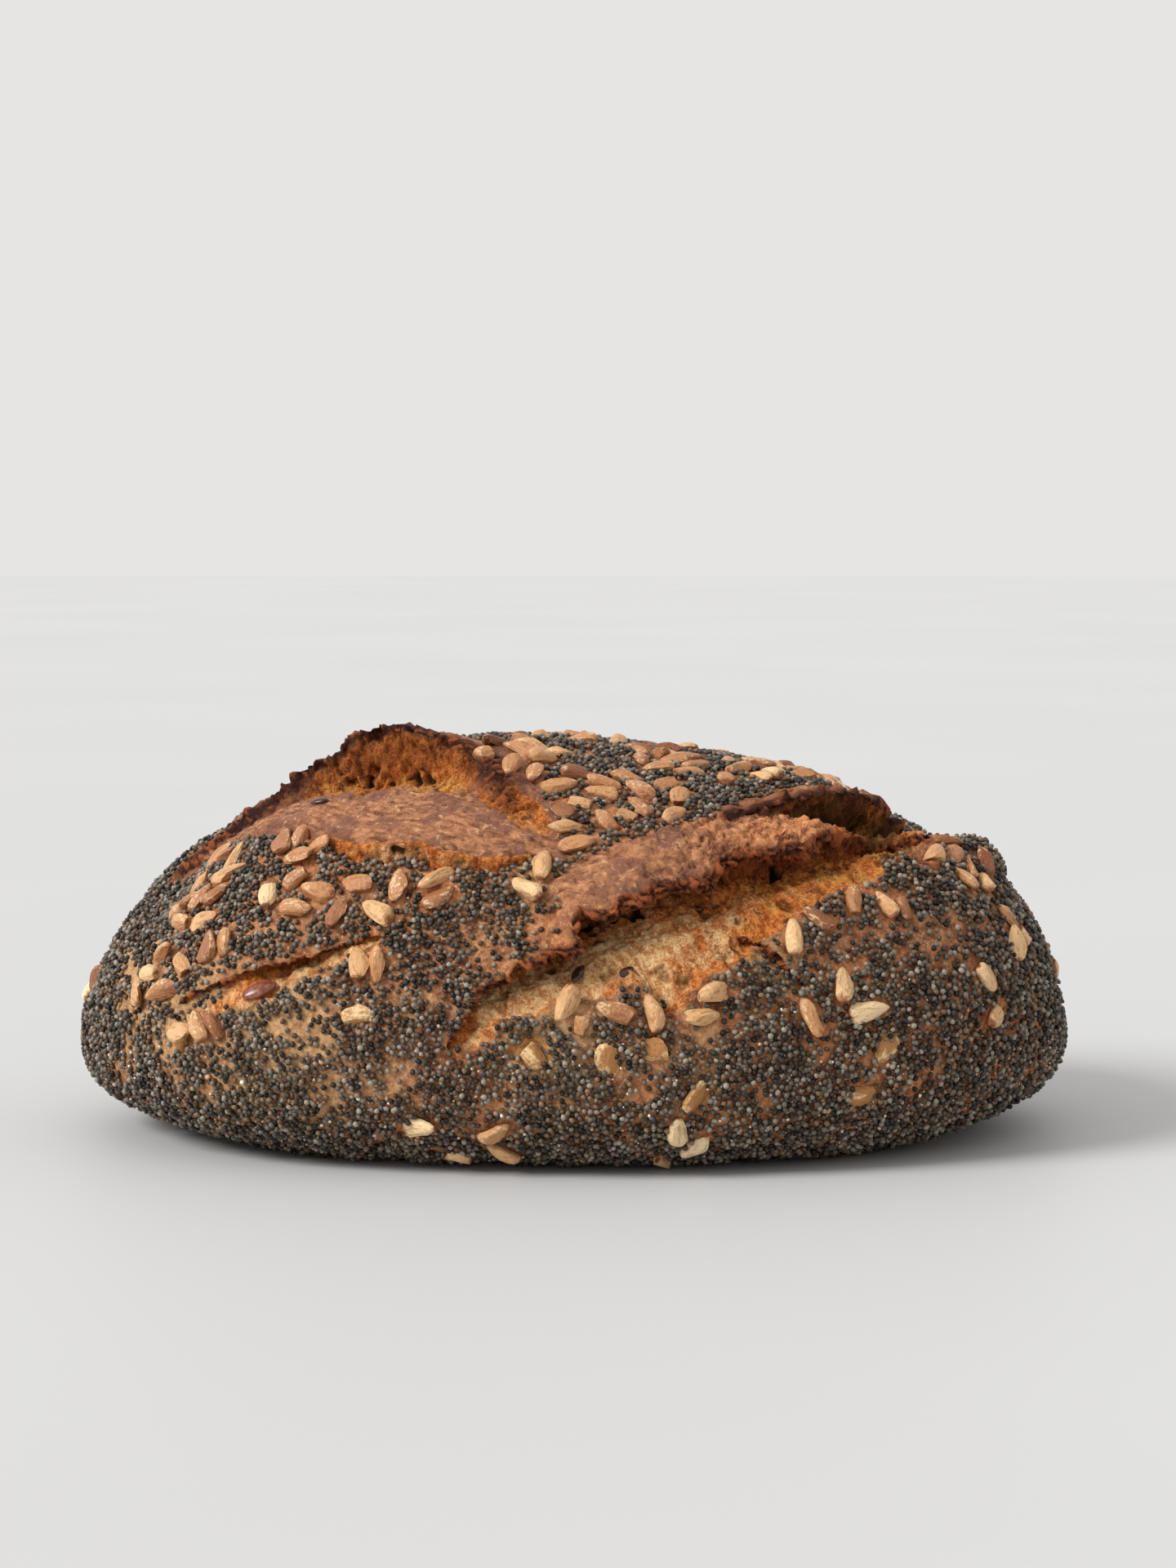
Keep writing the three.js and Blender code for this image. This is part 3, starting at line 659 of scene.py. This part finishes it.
def bread_material():
    material, shade, shader = new_material("baked_bread")
    coarse = shade.grain(0.009)
    medium = shade.grain(0.0035, 4.0, 0.6)
    fine = shade.grain(0.0012, 4.0, 0.65)
    harsh = shade.grain(0.0018, 6.0, 0.75)
    dust = shade.grain(0.0005, 4.0, 0.7)
    cell = shade.cells(0.0015)
    lay = shade.mark("lay", output=1)
    streak = shade.grain(1.2, 4.0, 0.65, lay, (0.3, 1.0, 1.0))
    strand = shade.grain(1.3, 4.0, 0.65, lay, (1.0, 0.3, 1.0))
    torn, bare, brown, deep, chip, crack = (shade.mark(name) for name in bread_names)
    pale, scar, toast, rusty, ear, back = (
        shade.mark(name) for name in ("pale", "scar", "toast", "rust", "ear", "back"))

    # Crust between the seeds, with the smooth skins where kernels came away
    seeded = (medium * 0.6 + fine * 0.4).between(0.36, 0.64).mix((96, 54, 32), (182, 124, 82))
    reddish = (fine * 0.5 + medium * 0.5).between(0.36, 0.64).mix((128, 66, 36), (200, 130, 80))
    patchy = coarse.between(0.48, 0.6).mix(seeded, reddish)
    tan = (fine * 0.6 + medium * 0.4).between(0.32, 0.66).mix((144, 102, 62), (204, 160, 114))
    under = (pale + coarse * 0.9 + medium * 0.5 - 0.95).between(0.0, 0.5).mix(patchy, tan)
    speckled = ((dust * 0.7 + fine * 0.4).between(0.6, 0.68) * 0.55).mix(under, (216, 186, 152))
    amber = (fine * 0.5 + medium * 0.5).between(0.35, 0.65).mix((140, 82, 36), (204, 150, 92))
    scarred_crust = scar.between(0.3, 0.8).mix(speckled, amber)

    # Bare crust stretched beside the cuts: rusty on the right, scorched at the back
    drawn = (streak * 0.6 + harsh * 0.5).between(0.4, 0.67)
    stretched = drawn.mix((116, 66, 44), (198, 138, 97))
    dusky = (coarse * 0.7 + chip * 0.06 + medium * 0.3).between(0.47, 0.6)
    purple = dusky.mix(stretched, (138, 91, 71))
    flaky = (harsh + chip * 0.05 + (streak - 0.5) * 0.3).between(0.58, 0.69)
    flaked = flaky.mix(purple, (222, 170, 122))
    pitted = harsh.between(0.31, 0.39).mix((64, 30, 16), flaked)
    rust = (harsh * 0.6 + streak * 0.4).between(0.38, 0.62).mix((174, 94, 54), (255, 180, 116))
    layered = (streak + (harsh - 0.5) * 0.3).between(0.34, 0.43).mix((98, 48, 28), rust)
    scorched = harsh.between(0.36, 0.64).mix((76, 34, 17), (176, 98, 54))
    browned = (back * 0.85).mix(layered, scorched)
    rusted = (rusty * (coarse + (medium - 0.5) * 0.6).between(0.3, 0.52)).mix(pitted, browned)
    with_bare = (bare + (fine - 0.5) * 0.5).between(0.3, 0.55).mix(scarred_crust, rusted)

    # Torn crumb: pale to golden, toasted towards the lips, with open holes and dark hollows in painted
    # shade
    web = (strand * 0.4 + fine * 0.3 + dust * 0.4).between(0.46, 0.64)
    # Darker specks in the crumb: painted shade in its small pores
    pore_shade = (harsh * 0.7 + dust * 0.3).between(0.36, 0.44)
    crumb = pore_shade.mix((160, 98, 48), web.mix((196, 126, 68), (255, 214, 156)))
    oven = coarse + (medium - 0.5) * 0.8 + toast * 0.45 + brown * 0.8
    toasted = oven.between(0.52, 0.88).mix(crumb, web.mix((158, 76, 26), (236, 146, 72)))
    golden = shade.grain(0.006, 3.0) * 0.7 + strand * 0.35 + toast * 0.09 + ear * 0.07 - brown * 0.28
    yolky = golden.between(0.54, 0.64) * toast.between(0.55, 0.85) * 0.8
    moist = yolky.mix(toasted, web.mix((150, 92, 34), (228, 166, 84)))
    # Dark open holes in the toasted crumb: painted shade, where no holes are modelled
    open_holes = 1 - (medium + (harsh - 0.5) * 0.5).between(0.34, 0.44)
    hole_shaded = (open_holes * toast.between(0.3, 0.7) * 0.85).mix(moist, (78, 36, 13))
    # Darker torn crumb where a browned lip runs over it: painted shade under the lips
    under_lip_shade = (brown * torn - toast * 0.32).between(0.15, 0.8).mix(hole_shaded, (122, 60, 25))
    # Darker crumb in the hollow behind the back cut: painted shade in the recess
    back_hollow_shade = (back * (coarse * 0.5 + medium * 0.5).between(0.36, 0.52) * 0.8).mix(under_lip_shade, (62, 40, 15))
    # Darkest where the crumb is pushed deep into its holes: painted shade in the holes
    hollow = deep.between(0.15, 0.9).mix(back_hollow_shade, (60, 36, 12))
    ragged = torn + (medium - 0.5) * 0.5 + (harsh - 0.5) * toast
    with_torn = ragged.between(0.35, 0.65).mix(with_bare, hollow)

    # Browned edges of the lips, with painted shade in the cracks between their flakes
    # Charred colour of the lips, darker in the cracks between flakes: painted shade there
    burnt_and_crack_shade = (harsh + chip * 0.1 - crack * 0.25 - ear * 0.13).between(0.28, 0.6)
    charred = burnt_and_crack_shade.mix((62, 26, 12), (178, 98, 54))
    whole = (brown - brown * torn * 0.5 + (harsh - 0.5) * 0.9).between(0.35, 0.75).mix(with_torn, charred)

    gloss = 0.55 + 0.35 * torn.between(0.3, 0.7) + 0.3 * (fine - 0.5) - 0.25 * scar
    roughly = bare * 1.2 + brown * 2.0 + torn * 0.8
    height = fine * 0.6 + medium + harsh * roughly + cell * torn * 0.3 + dust * (0.4 + torn)
    feed(shader, {"Base Color": whole, "Roughness": gloss, "Specular IOR Level": 0.2})
    feed(shader, {"Normal": height.bump(0.0008, 0.9)})
    return material


def add_object(name, data):
    placed = bpy.data.objects.new(name, data)
    bpy.context.collection.objects.link(placed)
    return placed


def add_piece(name, mesh, material):
    """A smooth-shaded piece that rides on the loaf's one body."""
    piece = add_object(name, mesh)
    mesh.materials.append(material)
    mesh.polygons.foreach_set("use_smooth", np.ones(len(mesh.polygons), bool))
    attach(piece, "root")
    return piece


bread = add_piece("bread", bread_skin, bread_material())
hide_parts("loaf")

# Sunflower kernels
# Shelled and toasted in the oven, pressed into the wet dough with the poppy seeds, so each is sunk
# about a fifth of its thickness into the crust. Flattened drops with one pointed end, some broken.

KERNEL_LONG = 8.8
KERNEL_WIDE = 4.6
KERNEL_THICK = 3.1
KERNEL_TAPER = 0.35
KERNEL_SUNK = 0.22
KERNEL_HOLD = 0.3
KERNEL_SPACING = 4.0
KERNEL_CROWDED = 3.3
KERNEL_TURNS = 6
KERNEL_RIM = 1.05
KERNEL_FACETS = 6
KERNEL_BROKEN = 0.16
HUSK_SHARE = (0.9, 1.15, 0.6)
HUSK_SUNK = 0.6
HUSK_TURN = 2.4
SLOPE_STEP = 0.02
TRIES = 16
DRAWS_APART = 37
LATER_DRAWS = 800

# Patches of kernels: a place on the dome, the reach along and across, how many of them the solid has
# too, and how many more lie between those
KERNEL_PATCHES = [
    ((-78, -29, 58), (9, 17), 12, 10),
    ((-55, -43, 67), (11, 5), 5, 4),
    ((-59, -53, 56), (7, 7), 5, 2),
    ((-43, -58, 57), (11, 6), 7, 4),
    ((-31, -60, 58), (5, 4), 2, 1),
    ((-42, -65, 46), (3, 4), 1, 1),
    ((-87, -43, 40), (9, 7), 6, 3),
    ((-80, -54, 32), (10, 4), 3, 1),
    ((-76, -50, 46), (4, 4), 2, 0),
    ((-106, -10, 31), (3, 6), 1, 1),
    ((-11, -20, 83), (8, 15), 8, 4),
    ((9, -38, 76), (16, 12), 13, 12),
    ((1, -53, 69), (5, 4), 2, 1),
    ((-5, -61, 61), (9, 3), 4, 2),
    ((28, -12, 81), (16, 14), 8, 8),
    ((55, 0, 79), (16, 8), 6, 7),
    ((10, 4, 86), (24, 8), 4, 4),
    ((83, -25, 60), (10, 10), 7, 4),
    ((62, -52, 57), (8, 5), 5, 2),
    ((45, -62, 53), (7, 5), 4, 2),
    ((94, -33, 45), (4, 6), 2, 1),
    ((106, -8, 38), (3, 6), 1, 1),
    ((87, -49, 33), (3, 7), 2, 0),
    ((52, -65, 37), (10, 6), 2, 1),
    ((20, -68, 8), (80, 8), 5, 2),
    ((-34, 34, 77), (36, 22), 10, 10),
    ((44, 34, 74), (34, 22), 9, 10),
    ((0, 62, 52), (75, 18), 6, 8),
    ((4, -74, 36), (7, 3), 2, 1),
    ((24, -72, 36), (9, 3), 3, 0),
]


def even_share(count, base):
    """Radical inverse: an even spread of shares from a plain count."""
    share, step = 0.0, 1.0 / base
    while count:
        share += (count % base) * step
        count //= base
        step /= base
    return share


def skin_normals(directions):
    """Way out of the skin in each direction, from two neighbours a small step away."""
    east = unit(np.cross((0.0, 0.0, 1.0), directions))
    north = unit(np.cross(directions, east))
    beside = (directions, directions + east * SLOPE_STEP, directions + north * SLOPE_STEP)
    middle, right, up = np.split(skin(np.vstack(beside))[0], 3)
    return unit(np.cross(right - middle, up - middle))


def resting_place(place):
    """Where a place on the dome lies on the baked skin, and the way out there."""
    direction = unit(from_base([place]))
    return skin(direction)[0][0], skin_normals(direction)[0]


def kernel_places():
    """Place, way out and turn of every kernel: first those fused to the solid, then those between."""
    found = []
    for rank, spacing, offset in ((2, KERNEL_SPACING, 0), (3, KERNEL_CROWDED, LATER_DRAWS)):
        for number, patch in enumerate(KERNEL_PATCHES):
            fill_patch(found, number, patch[0], patch[1], patch[rank], spacing, offset)
    return found


def long_way(normal, turn):
    """Way that a kernel points in when it lies on the crust with the given turn."""
    east = unit(np.cross((0.0, 0.0, 1.0), normal[None]))[0]
    return east * math.cos(turn) + np.cross(normal, east) * math.sin(turn)


def patch_draws(number, middle, reach, tries, offset):
    """Places, ways out and turns drawn evenly over a patch, without those in an open cut."""
    middle = from_base([middle])
    normal = dome_normal(crust(middle))
    along = unit(np.array([(1.0, 0.0, 0.0)]) - normal * normal[0, 0])
    across = np.cross(normal, along)
    counts = np.arange(tries) + 1 + number * DRAWS_APART + offset
    around, out, turns = (np.array([even_share(count, base) for count in counts]) for base in (2, 3, 5))
    out, around = np.sqrt(out)[:, None], around[:, None] * 2 * math.pi
    aims = along * np.cos(around) * out * reach[0] + across * np.sin(around) * out * reach[1]
    directions = unit(middle + aims)
    clear = ~near_cut(crust(directions), KERNEL_RIM)
    return zip(skin(directions)[0][clear], skin_normals(directions)[clear], turns[clear])


def fill_patch(found, number, middle, reach, wanted, spacing, offset):
    """Adds kernels to a patch, each turned clear of the others, until it has as many as wanted."""
    placed = 0
    for place, normal, share in patch_draws(number, middle, reach, wanted * TRIES, offset):
        if placed == wanted:
            break
        for twist in range(KERNEL_TURNS):
            turn = (share + twist / KERNEL_TURNS) * math.pi
            holds = place + np.outer((-1, 0, 1), long_way(normal, turn)) * KERNEL_LONG * KERNEL_HOLD
            gaps = [np.linalg.norm(holds[:, None] - other[3], axis=2).min() for other in found]
            if min(gaps, default=spacing) >= spacing:
                found.append((place, normal, turn, holds))
                placed += 1
                break


def shape_arrays(shape):
    """Corners and triangles of a small shape, which is then let go."""
    bmesh.ops.triangulate(shape, faces=shape.faces)
    corners = np.array([corner.co for corner in shape.verts])
    faces = np.array([[corner.index for corner in face.verts] for face in shape.faces])
    shape.free()
    return corners, faces


def ball_arrays(segments, rings):
    """Corners and triangles of a plain ball with its poles along Z."""
    shape = bmesh.new()
    bmesh.ops.create_uvsphere(shape, u_segments=segments, v_segments=rings, radius=1.0)
    return shape_arrays(shape)


def joined_mesh(name, corners, faces):
    """One mesh from many copies of a small shape: corners by copy, and the shape's own faces."""
    copies, size = corners.shape[:2]
    every = (faces[None] + (np.arange(copies) * size)[:, None, None]).reshape(-1, 3)
    mesh = bpy.data.meshes.new(name)
    mesh.vertices.add(copies * size)
    mesh.loops.add(every.size)
    mesh.loops.foreach_set("vertex_index", every.astype(np.int32).ravel())
    mesh.polygons.add(len(every))
    mesh.polygons.foreach_set("loop_start", np.arange(0, every.size, 3, dtype=np.int32))
    mesh.update(calc_edges=True)
    place_corners(mesh, corners)
    return mesh


def kernel_shape(ball, draw):
    """A flattened drop with a point at one end, shrunk to flat facets in the oven and sometimes broken,
    and how far each corner lies from its facets."""
    broken = draw.uniform() < KERNEL_BROKEN
    end = np.minimum(ball[:, 2], draw.uniform(0.1, 0.7) if broken else 1.0)
    slim = (1 - (KERNEL_TAPER + draw.uniform(-0.12, 0.12)) * end) * (1 - 0.35 * np.clip(end, 0, 1) ** 3)
    round_ball = np.column_stack((end, ball[:, :2] * slim[:, None]))
    shape = round_ball.copy()
    for _ in range(KERNEL_FACETS):
        way = unit(draw.normal(0, 1, (1, 3)) * (0.4, 1.0, 1.0))[0]
        shape -= np.maximum(shape @ way - draw.uniform(0.55, 0.82), 0)[:, None] * way
    shape += 0.06 * ripple(ball * 1.4, 1.0, draw.uniform(0, 40))[:, None] * ball[:, [2, 0, 1]]
    edge = lengths(shape - round_ball)
    size = np.array((KERNEL_LONG, KERNEL_WIDE, KERNEL_THICK)) / 2
    shape *= size * draw.uniform((0.82, 0.9, 0.9), (1.08, 1.15, 1.15))
    shape[:, 1] += draw.uniform(-0.7, 0.7) * (end ** 2 - 0.4)
    return shape, edge


def husk_places():
    """Papery skins left where a kernel came away, lying in the scars of the crust."""
    found = []
    for number, (place, _, _) in enumerate(SCARS):
        spot, normal = resting_place(place)
        found.append((spot - normal * HUSK_SUNK, normal, number * HUSK_TURN, spot[None]))
    return found


def kernels_mesh(places, husks):
    """All kernels and husks as one mesh, each tipped and rolled a little as it was pressed in."""
    draw = np.random.default_rng(4)
    ball, faces = ball_arrays(12, 8)
    corners, tones, grains, edges = [], [], [], []
    for number, (place, normal, turn, _) in enumerate(places + husks):
        shape, edge = kernel_shape(ball, draw)
        if number >= len(places):
            shape *= HUSK_SHARE
        along = long_way(normal, turn)
        tilt = draw.normal(0, 0.16)
        along = along * math.cos(tilt) + normal * math.sin(tilt)
        across = np.cross(normal, along)
        roll = draw.normal(0, 0.3)
        across = across * math.cos(roll) + normal * math.sin(roll)
        axes = np.stack((along, across, np.cross(along, across)))
        lifted = place + normal * (0.5 - KERNEL_SUNK) * KERNEL_THICK
        corners.append(lifted + shape @ axes)
        roast = (place[2] - 45) / 140 + draw.normal(0, 0.26)
        tones.append(np.clip(0.58 - roast, 0, 1))
        grains.append(ball * (1.0, 1.0, 0.35) + (0.0, 0.0, number * 7.3))
        edges.append(edge)
    mesh = joined_mesh("kernels", np.array(corners), faces)
    mesh.set_sharp_from_angle(angle=math.radians(38))
    papery = np.arange(len(corners)) >= len(places)
    add_marks(mesh, tone=np.repeat(tones, len(ball)), husk=np.repeat(papery, len(ball)))
    add_marks(mesh, end=np.tile(np.abs(ball[:, 2]), len(corners)))
    add_marks(mesh, facet=np.concatenate(edges), lay=np.concatenate(grains))
    return mesh


def kernel_material():
    material, shade, shader = new_material("toasted_kernel")
    tone, end, facet = (shade.mark(name) for name in ("tone", "end", "facet"))
    streak = shade.grain(0.35, 3.0, 0.6, shade.mark("lay", output=1))
    fine = shade.grain(0.0008, 4.0, 0.6)
    plain = tone.node("ValToRGB", {"stops": [
        (0.0, (128, 70, 38)),
        (0.35, (184, 126, 78)),
        (0.75, (216, 170, 116)),
        (1.0, (240, 214, 168)),
    ]}, {"Fac": tone})
    toasted = ((streak + (fine - 0.5) * 0.4).between(0.48, 0.68) * 0.6).mix(plain, (132, 76, 38))
    worn = (streak * 0.4 + fine * 0.6 - facet).between(0.46, 0.6) * 0.7
    scuffed = worn.mix(toasted, (238, 208, 164))
    tip = (end + (fine - 0.5) * 0.4).between(0.8, 1.0).mix(scuffed, (132, 76, 40))
    papery = (streak * 0.6 + fine * 0.5 - facet).between(0.4, 0.66)
    husk = papery.mix((168, 114, 60), (232, 198, 146))
    relief = (streak * 0.7 + fine * 0.6).bump(0.0007, 0.8)
    feed(shader, {"Base Color": shade.mark("husk").mix(tip, husk), "Normal": relief})
    feed(shader, {"Roughness": 0.42 + 0.3 * (fine - 0.5), "Specular IOR Level": 0.45})
    return material


kernel_spots = kernel_places()
kernel_husks = husk_places()
add_piece("kernels", kernels_mesh(kernel_spots, kernel_husks), kernel_material())

# Poppy seeds
# Slate-grey poppy seeds, just over a millimetre long and kidney-shaped, stuck all over the crust where
# the wet dough was rolled in them. They heap in clumps, and the cuts opened bare of them.

POPPY_LONG = 1.3
POPPY_WIDE = 1.1
POPPY_THICK = 0.98
POPPY_FACETS = 1.1
POPPY_HOLLOW = 0.3
POPPY_SPACING = 0.98
POPPY_LYING = 0.36
POPPY_ON_TOP = 1.05
POPPY_TRIES = 230000
POPPY_HEAPED = 60000
POPPY_PER_PIECE = 9900
POPPY_KINDS = [
    ("poppy_slate", (55, 47, 39), (108, 99, 87)),
    ("poppy_ash", (84, 76, 66), (152, 142, 128)),
    ("poppy_ink", (20, 15, 10), (56, 47, 39)),
    ("poppy_brown", (69, 49, 35), (130, 104, 79)),
]


def scatter(mesh, weights, tries, draw):
    """Places and ways out drawn over the mesh's triangles, by area and by the corners' weights."""
    mesh.calc_loop_triangles()
    faces = in_threes(mesh.loop_triangles, "vertices", np.int32)
    places = in_threes(mesh.vertices, "co").astype(float) / MM
    first, second, third = (places[faces[:, step]] for step in range(3))
    spread = np.cross(second - first, third - first)
    chance = lengths(spread) * weights[faces].mean(axis=1)
    picks = draw.choice(len(faces), size=tries, p=chance / chance.sum())
    shares = draw.uniform(0, 1, (2, tries))
    shares = np.where(shares.sum(axis=0) > 1, 1 - shares, shares)[:, :, None]
    spots = first[picks] + (second - first)[picks] * shares[0] + (third - first)[picks] * shares[1]
    return spots, unit(spread[picks])


def thin(spots, spacing):
    """Which spots stay when none may lie nearer than the spacing to one kept before it."""
    kept, cells = [], {}
    keys = np.floor(spots / spacing).astype(int)
    around = list(itertools.product((-1, 0, 1), repeat=3))
    for number, (spot, (x, y, z)) in enumerate(zip(spots.tolist(), keys.tolist())):
        blocks = (cells.get((x + across, y + along, z + up), ()) for across, along, up in around)
        if all(math.dist(spot, other) >= spacing for block in blocks for other in block):
            cells.setdefault((x, y, z), []).append(spot)
            kept.append(number)
    return np.array(kept)


def seed_weights(points, looks):
    """How thickly the seeds lie: bare in the cuts, thin where pale crust shows, none underneath."""
    covered = 1 - np.clip(looks.sum(axis=1) * 2.5 - 0.4, 0, 1)
    thick = np.clip((clumping(points) + 0.16 - 0.27 * pale_share(points, 0)) / 0.08, 0.04, 1)
    return covered * (1 - scarred(points)) * thick * np.clip(points[:, 2] / 1.5 - 0.4, 0, 1) + 1e-6


seed_cover = seed_weights(bread_points, bread_looks)


def clear_of_kernels(spots):
    """Which spots lie outside every kernel and husk."""
    clear = np.ones(len(spots), bool)
    for *_, holds in kernel_spots + kernel_husks:
        for hold in holds:
            clear &= ((spots - hold) ** 2).sum(axis=1) > KERNEL_WIDE ** 2 / 4
    return clear


def poppy_shape():
    """A seed of twenty faces, longer than wide, with the hollow side of a kidney."""
    shape = bmesh.new()
    bmesh.ops.create_icosphere(shape, subdivisions=1, radius=0.5)
    corners, faces = shape_arrays(shape)
    corners[:, 1] += POPPY_HOLLOW * corners[:, 0] ** 2
    return corners * (POPPY_LONG, POPPY_WIDE, POPPY_THICK) * POPPY_FACETS, faces


def any_turns(normals, draw):
    """Axes of seeds that lie roughly flat on the crust, each turned and tipped by chance."""
    lean = unit(normals + draw.normal(0, 0.35, normals.shape))
    first = unit(np.cross(lean, unit(draw.normal(0, 1, normals.shape))))
    return np.stack((first, np.cross(lean, first), lean), axis=1)


def seeds_mesh(name, spots, turns, sizes, tones):
    """Many seeds of the poppy's shape as one mesh, each with its own turn, size and tone."""
    shape, faces = poppy_shape()
    corners = np.einsum("vc,ncd->nvd", shape, turns) * sizes[:, None, None] + spots[:, None]
    mesh = joined_mesh(name, corners, faces)
    add_marks(mesh, tone=np.repeat(tones, len(shape)))
    return mesh


def poppy_material(name, dark, light):
    material, shade, shader = new_material(name)
    fine = shade.grain(0.0004, 2.0)
    tint = (shade.mark("tone") + (fine - 0.5) * 0.6).between(0.0, 1.0).mix(dark, light)
    feed(shader, {"Base Color": tint, "Normal": fine.bump(0.0001, 0.5)})
    feed(shader, {"Roughness": 0.5 + 0.2 * (fine - 0.5), "Specular IOR Level": 0.4})
    return material


def sow(weights, tries, spacing, height, draw):
    """Spots over the crust by weight, none too near another or under a kernel, raised by a height."""
    spots, normals = scatter(bread_skin, weights, tries, draw)
    clear = clear_of_kernels(spots)
    spots, normals = spots[clear], normals[clear]
    kept = thin(spots, spacing)
    return spots[kept] + normals[kept] * height, normals[kept]


def sow_poppy():
    """A layer of seeds over the crust with heaps on top of it, shared out evenly between the shades."""
    draw = np.random.default_rng(11)
    low, low_normals = sow(seed_cover, POPPY_TRIES, POPPY_SPACING, POPPY_THICK * POPPY_LYING, draw)
    heaps = np.clip(clumping(bread_points) * 4 - 0.2, 0, 1) * np.clip(seed_cover * 2 - 1, 0, 1) + 1e-9
    high, high_normals = sow(heaps, POPPY_HEAPED, POPPY_SPACING * 1.15, POPPY_THICK * POPPY_ON_TOP, draw)
    most = POPPY_PER_PIECE * len(POPPY_KINDS)
    spots, normals = np.vstack((high, low))[:most], np.vstack((high_normals, low_normals))[:most]
    spots[:, 2] = np.maximum(spots[:, 2], POPPY_LONG * 0.6)
    sizes = draw.normal(1.0, 0.08, len(spots))
    tones = draw.uniform(0, 1, len(spots))
    order = draw.permutation(len(spots))
    for number, (name, dark, light) in enumerate(POPPY_KINDS):
        these = order[number::len(POPPY_KINDS)]
        turns = any_turns(normals[these], draw)
        mesh = seeds_mesh(name, spots[these], turns, sizes[these], tones[these])
        add_piece(name, mesh, poppy_material(name, dark, light))


sow_poppy()

# Flour
# Coarse bran and flour from the dusted proving basket, caught between the seeds and thickest low down
# round the sides.

FLOUR_TRIES = 4200
FLOUR_SIZE = 0.42
FLOUR_SPACING = 1.0
FLOUR_CLEAR = 1.5


def flour_mesh():
    draw = np.random.default_rng(23)
    low = np.clip(1.2 - bread_points[:, 2] / 32, 0.05, 1)
    weights = seed_cover ** 0.5 * low * (bread_points[:, 2] > FLOUR_CLEAR)
    spots, normals = sow(weights, FLOUR_TRIES, FLOUR_SPACING, POPPY_THICK * 0.5, draw)
    turns = any_turns(normals, draw)
    sizes = np.minimum(draw.lognormal(math.log(FLOUR_SIZE), 0.35, len(spots)), 1.0)
    return seeds_mesh("flour", spots, turns, sizes, draw.uniform(0, 1, len(spots)))


def flour_material():
    material, shade, shader = new_material("flour")
    fine = shade.grain(0.0003, 2.0)
    tone = (shade.mark("tone") + (fine - 0.5) * 0.4).between(0.0, 1.0)
    tint = tone.mix((196, 150, 112), (240, 228, 212))
    feed(shader, {"Base Color": tint, "Roughness": 0.85 + 0.2 * (fine - 0.5)})
    return material


add_piece("flour", flour_mesh(), flour_material())

# Flax seeds
# A few glossy brown flax seeds from the dough, flat drops lying on the crumb of the open cuts.

FLAX_LONG = 4.6
FLAX_WIDE = 2.3
FLAX_THICK = 1.1
FLAX_LIGHT = 1.5

# Each flax seed: a place on the dome, its turn and its scale; the largest is the lighter one
FLAX_PLACES = [
    ((1, -72, 44), 1.2, 1.0),
    ((11, -72, 44), 0.5, 0.9),
    ((-54, -31, 73), 0.5, 1.0),
    ((-67, -62, 38), 0.5, 1.7),
]


def flax_mesh():
    ball, faces = ball_arrays(14, 9)
    slim = 1 - 0.35 * np.clip(ball[:, 2], 0, 1) ** 2
    shape = np.column_stack((ball[:, 2], ball[:, :2] * slim[:, None]))
    shape *= np.array((FLAX_LONG, FLAX_WIDE, FLAX_THICK)) / 2
    corners = []
    for place, turn, scale in FLAX_PLACES:
        spot, normal = resting_place(place)
        along = long_way(normal, turn)
        axes = np.stack((along, np.cross(normal, along), normal))
        corners.append(spot + normal * FLAX_THICK * 0.5 + scale * (shape @ axes))
    mesh = joined_mesh("flax", np.array(corners), faces)
    add_marks(mesh, tone=np.repeat([scale > FLAX_LIGHT for _, _, scale in FLAX_PLACES], len(ball)))
    return mesh


def flax_material():
    material, shade, shader = new_material("flax")
    fine = shade.grain(0.001)
    dark = fine.between(0.3, 0.7).mix((40, 20, 14), (84, 46, 32))
    light = fine.between(0.3, 0.7).mix((96, 50, 34), (142, 84, 62))
    tint = shade.mark("tone").mix(dark, light)
    feed(shader, {"Base Color": tint, "Roughness": 0.25 + 0.2 * (fine - 0.5)})
    return material


add_piece("flax", flax_mesh(), flax_material())

# Floor, light and camera
# A pale, even floor under a pale sky, with a large soft light from the upper left in front. The camera
# looks at the best side from a little above the loaf.

FLOOR_SIZE = 12.0
SKY_STRENGTH = 1.0
KEY_FROM = (-0.76, -0.38, 0.62)
KEY_SPREAD = 26.0
KEY_POWER = 3.0
CAMERA_PLACE = (0.0029, -0.800, 0.1387)
CAMERA_PITCH = 4.483
CAMERA_LENS = 82.5


def add_floor():
    shape = bmesh.new()
    bmesh.ops.create_grid(shape, x_segments=1, y_segments=1, size=FLOOR_SIZE / 2)
    mesh = bpy.data.meshes.new("floor")
    shape.to_mesh(mesh)
    shape.free()
    floor = add_object("floor", mesh)
    material, shade, shader = new_material("pale_floor")
    cloudy = shade.grain(0.4).between(0.2, 0.8).mix((195, 195, 195), (199, 199, 199))
    feed(shader, {"Base Color": cloudy, "Roughness": 0.55})
    mesh.materials.append(material)


def add_key_light():
    light = bpy.data.lights.new("key", "SUN")
    light.angle = math.radians(KEY_SPREAD)
    light.energy = KEY_POWER
    lamp = add_object("key", light)
    lamp.rotation_euler = (-Vector(KEY_FROM)).to_track_quat("-Z", "Y").to_euler()


def add_sky():
    world = bpy.data.worlds.new("studio")
    world.use_nodes = True
    sky = world.node_tree.nodes["Background"]
    feed(sky, {"Color": colour(230, 229, 227), "Strength": SKY_STRENGTH})
    bpy.context.scene.world = world


def add_camera():
    lens = bpy.data.cameras.new("camera")
    lens.lens = CAMERA_LENS
    lens.sensor_width = 36.0
    lens.clip_start = 0.01
    camera = add_object("camera", lens)
    camera.location = CAMERA_PLACE
    camera.rotation_euler = (math.radians(90 - CAMERA_PITCH), 0, 0)
    bpy.context.scene.camera = camera


add_floor()
add_sky()
add_key_light()
add_camera()
bpy.context.scene.view_settings.view_transform = "Standard"
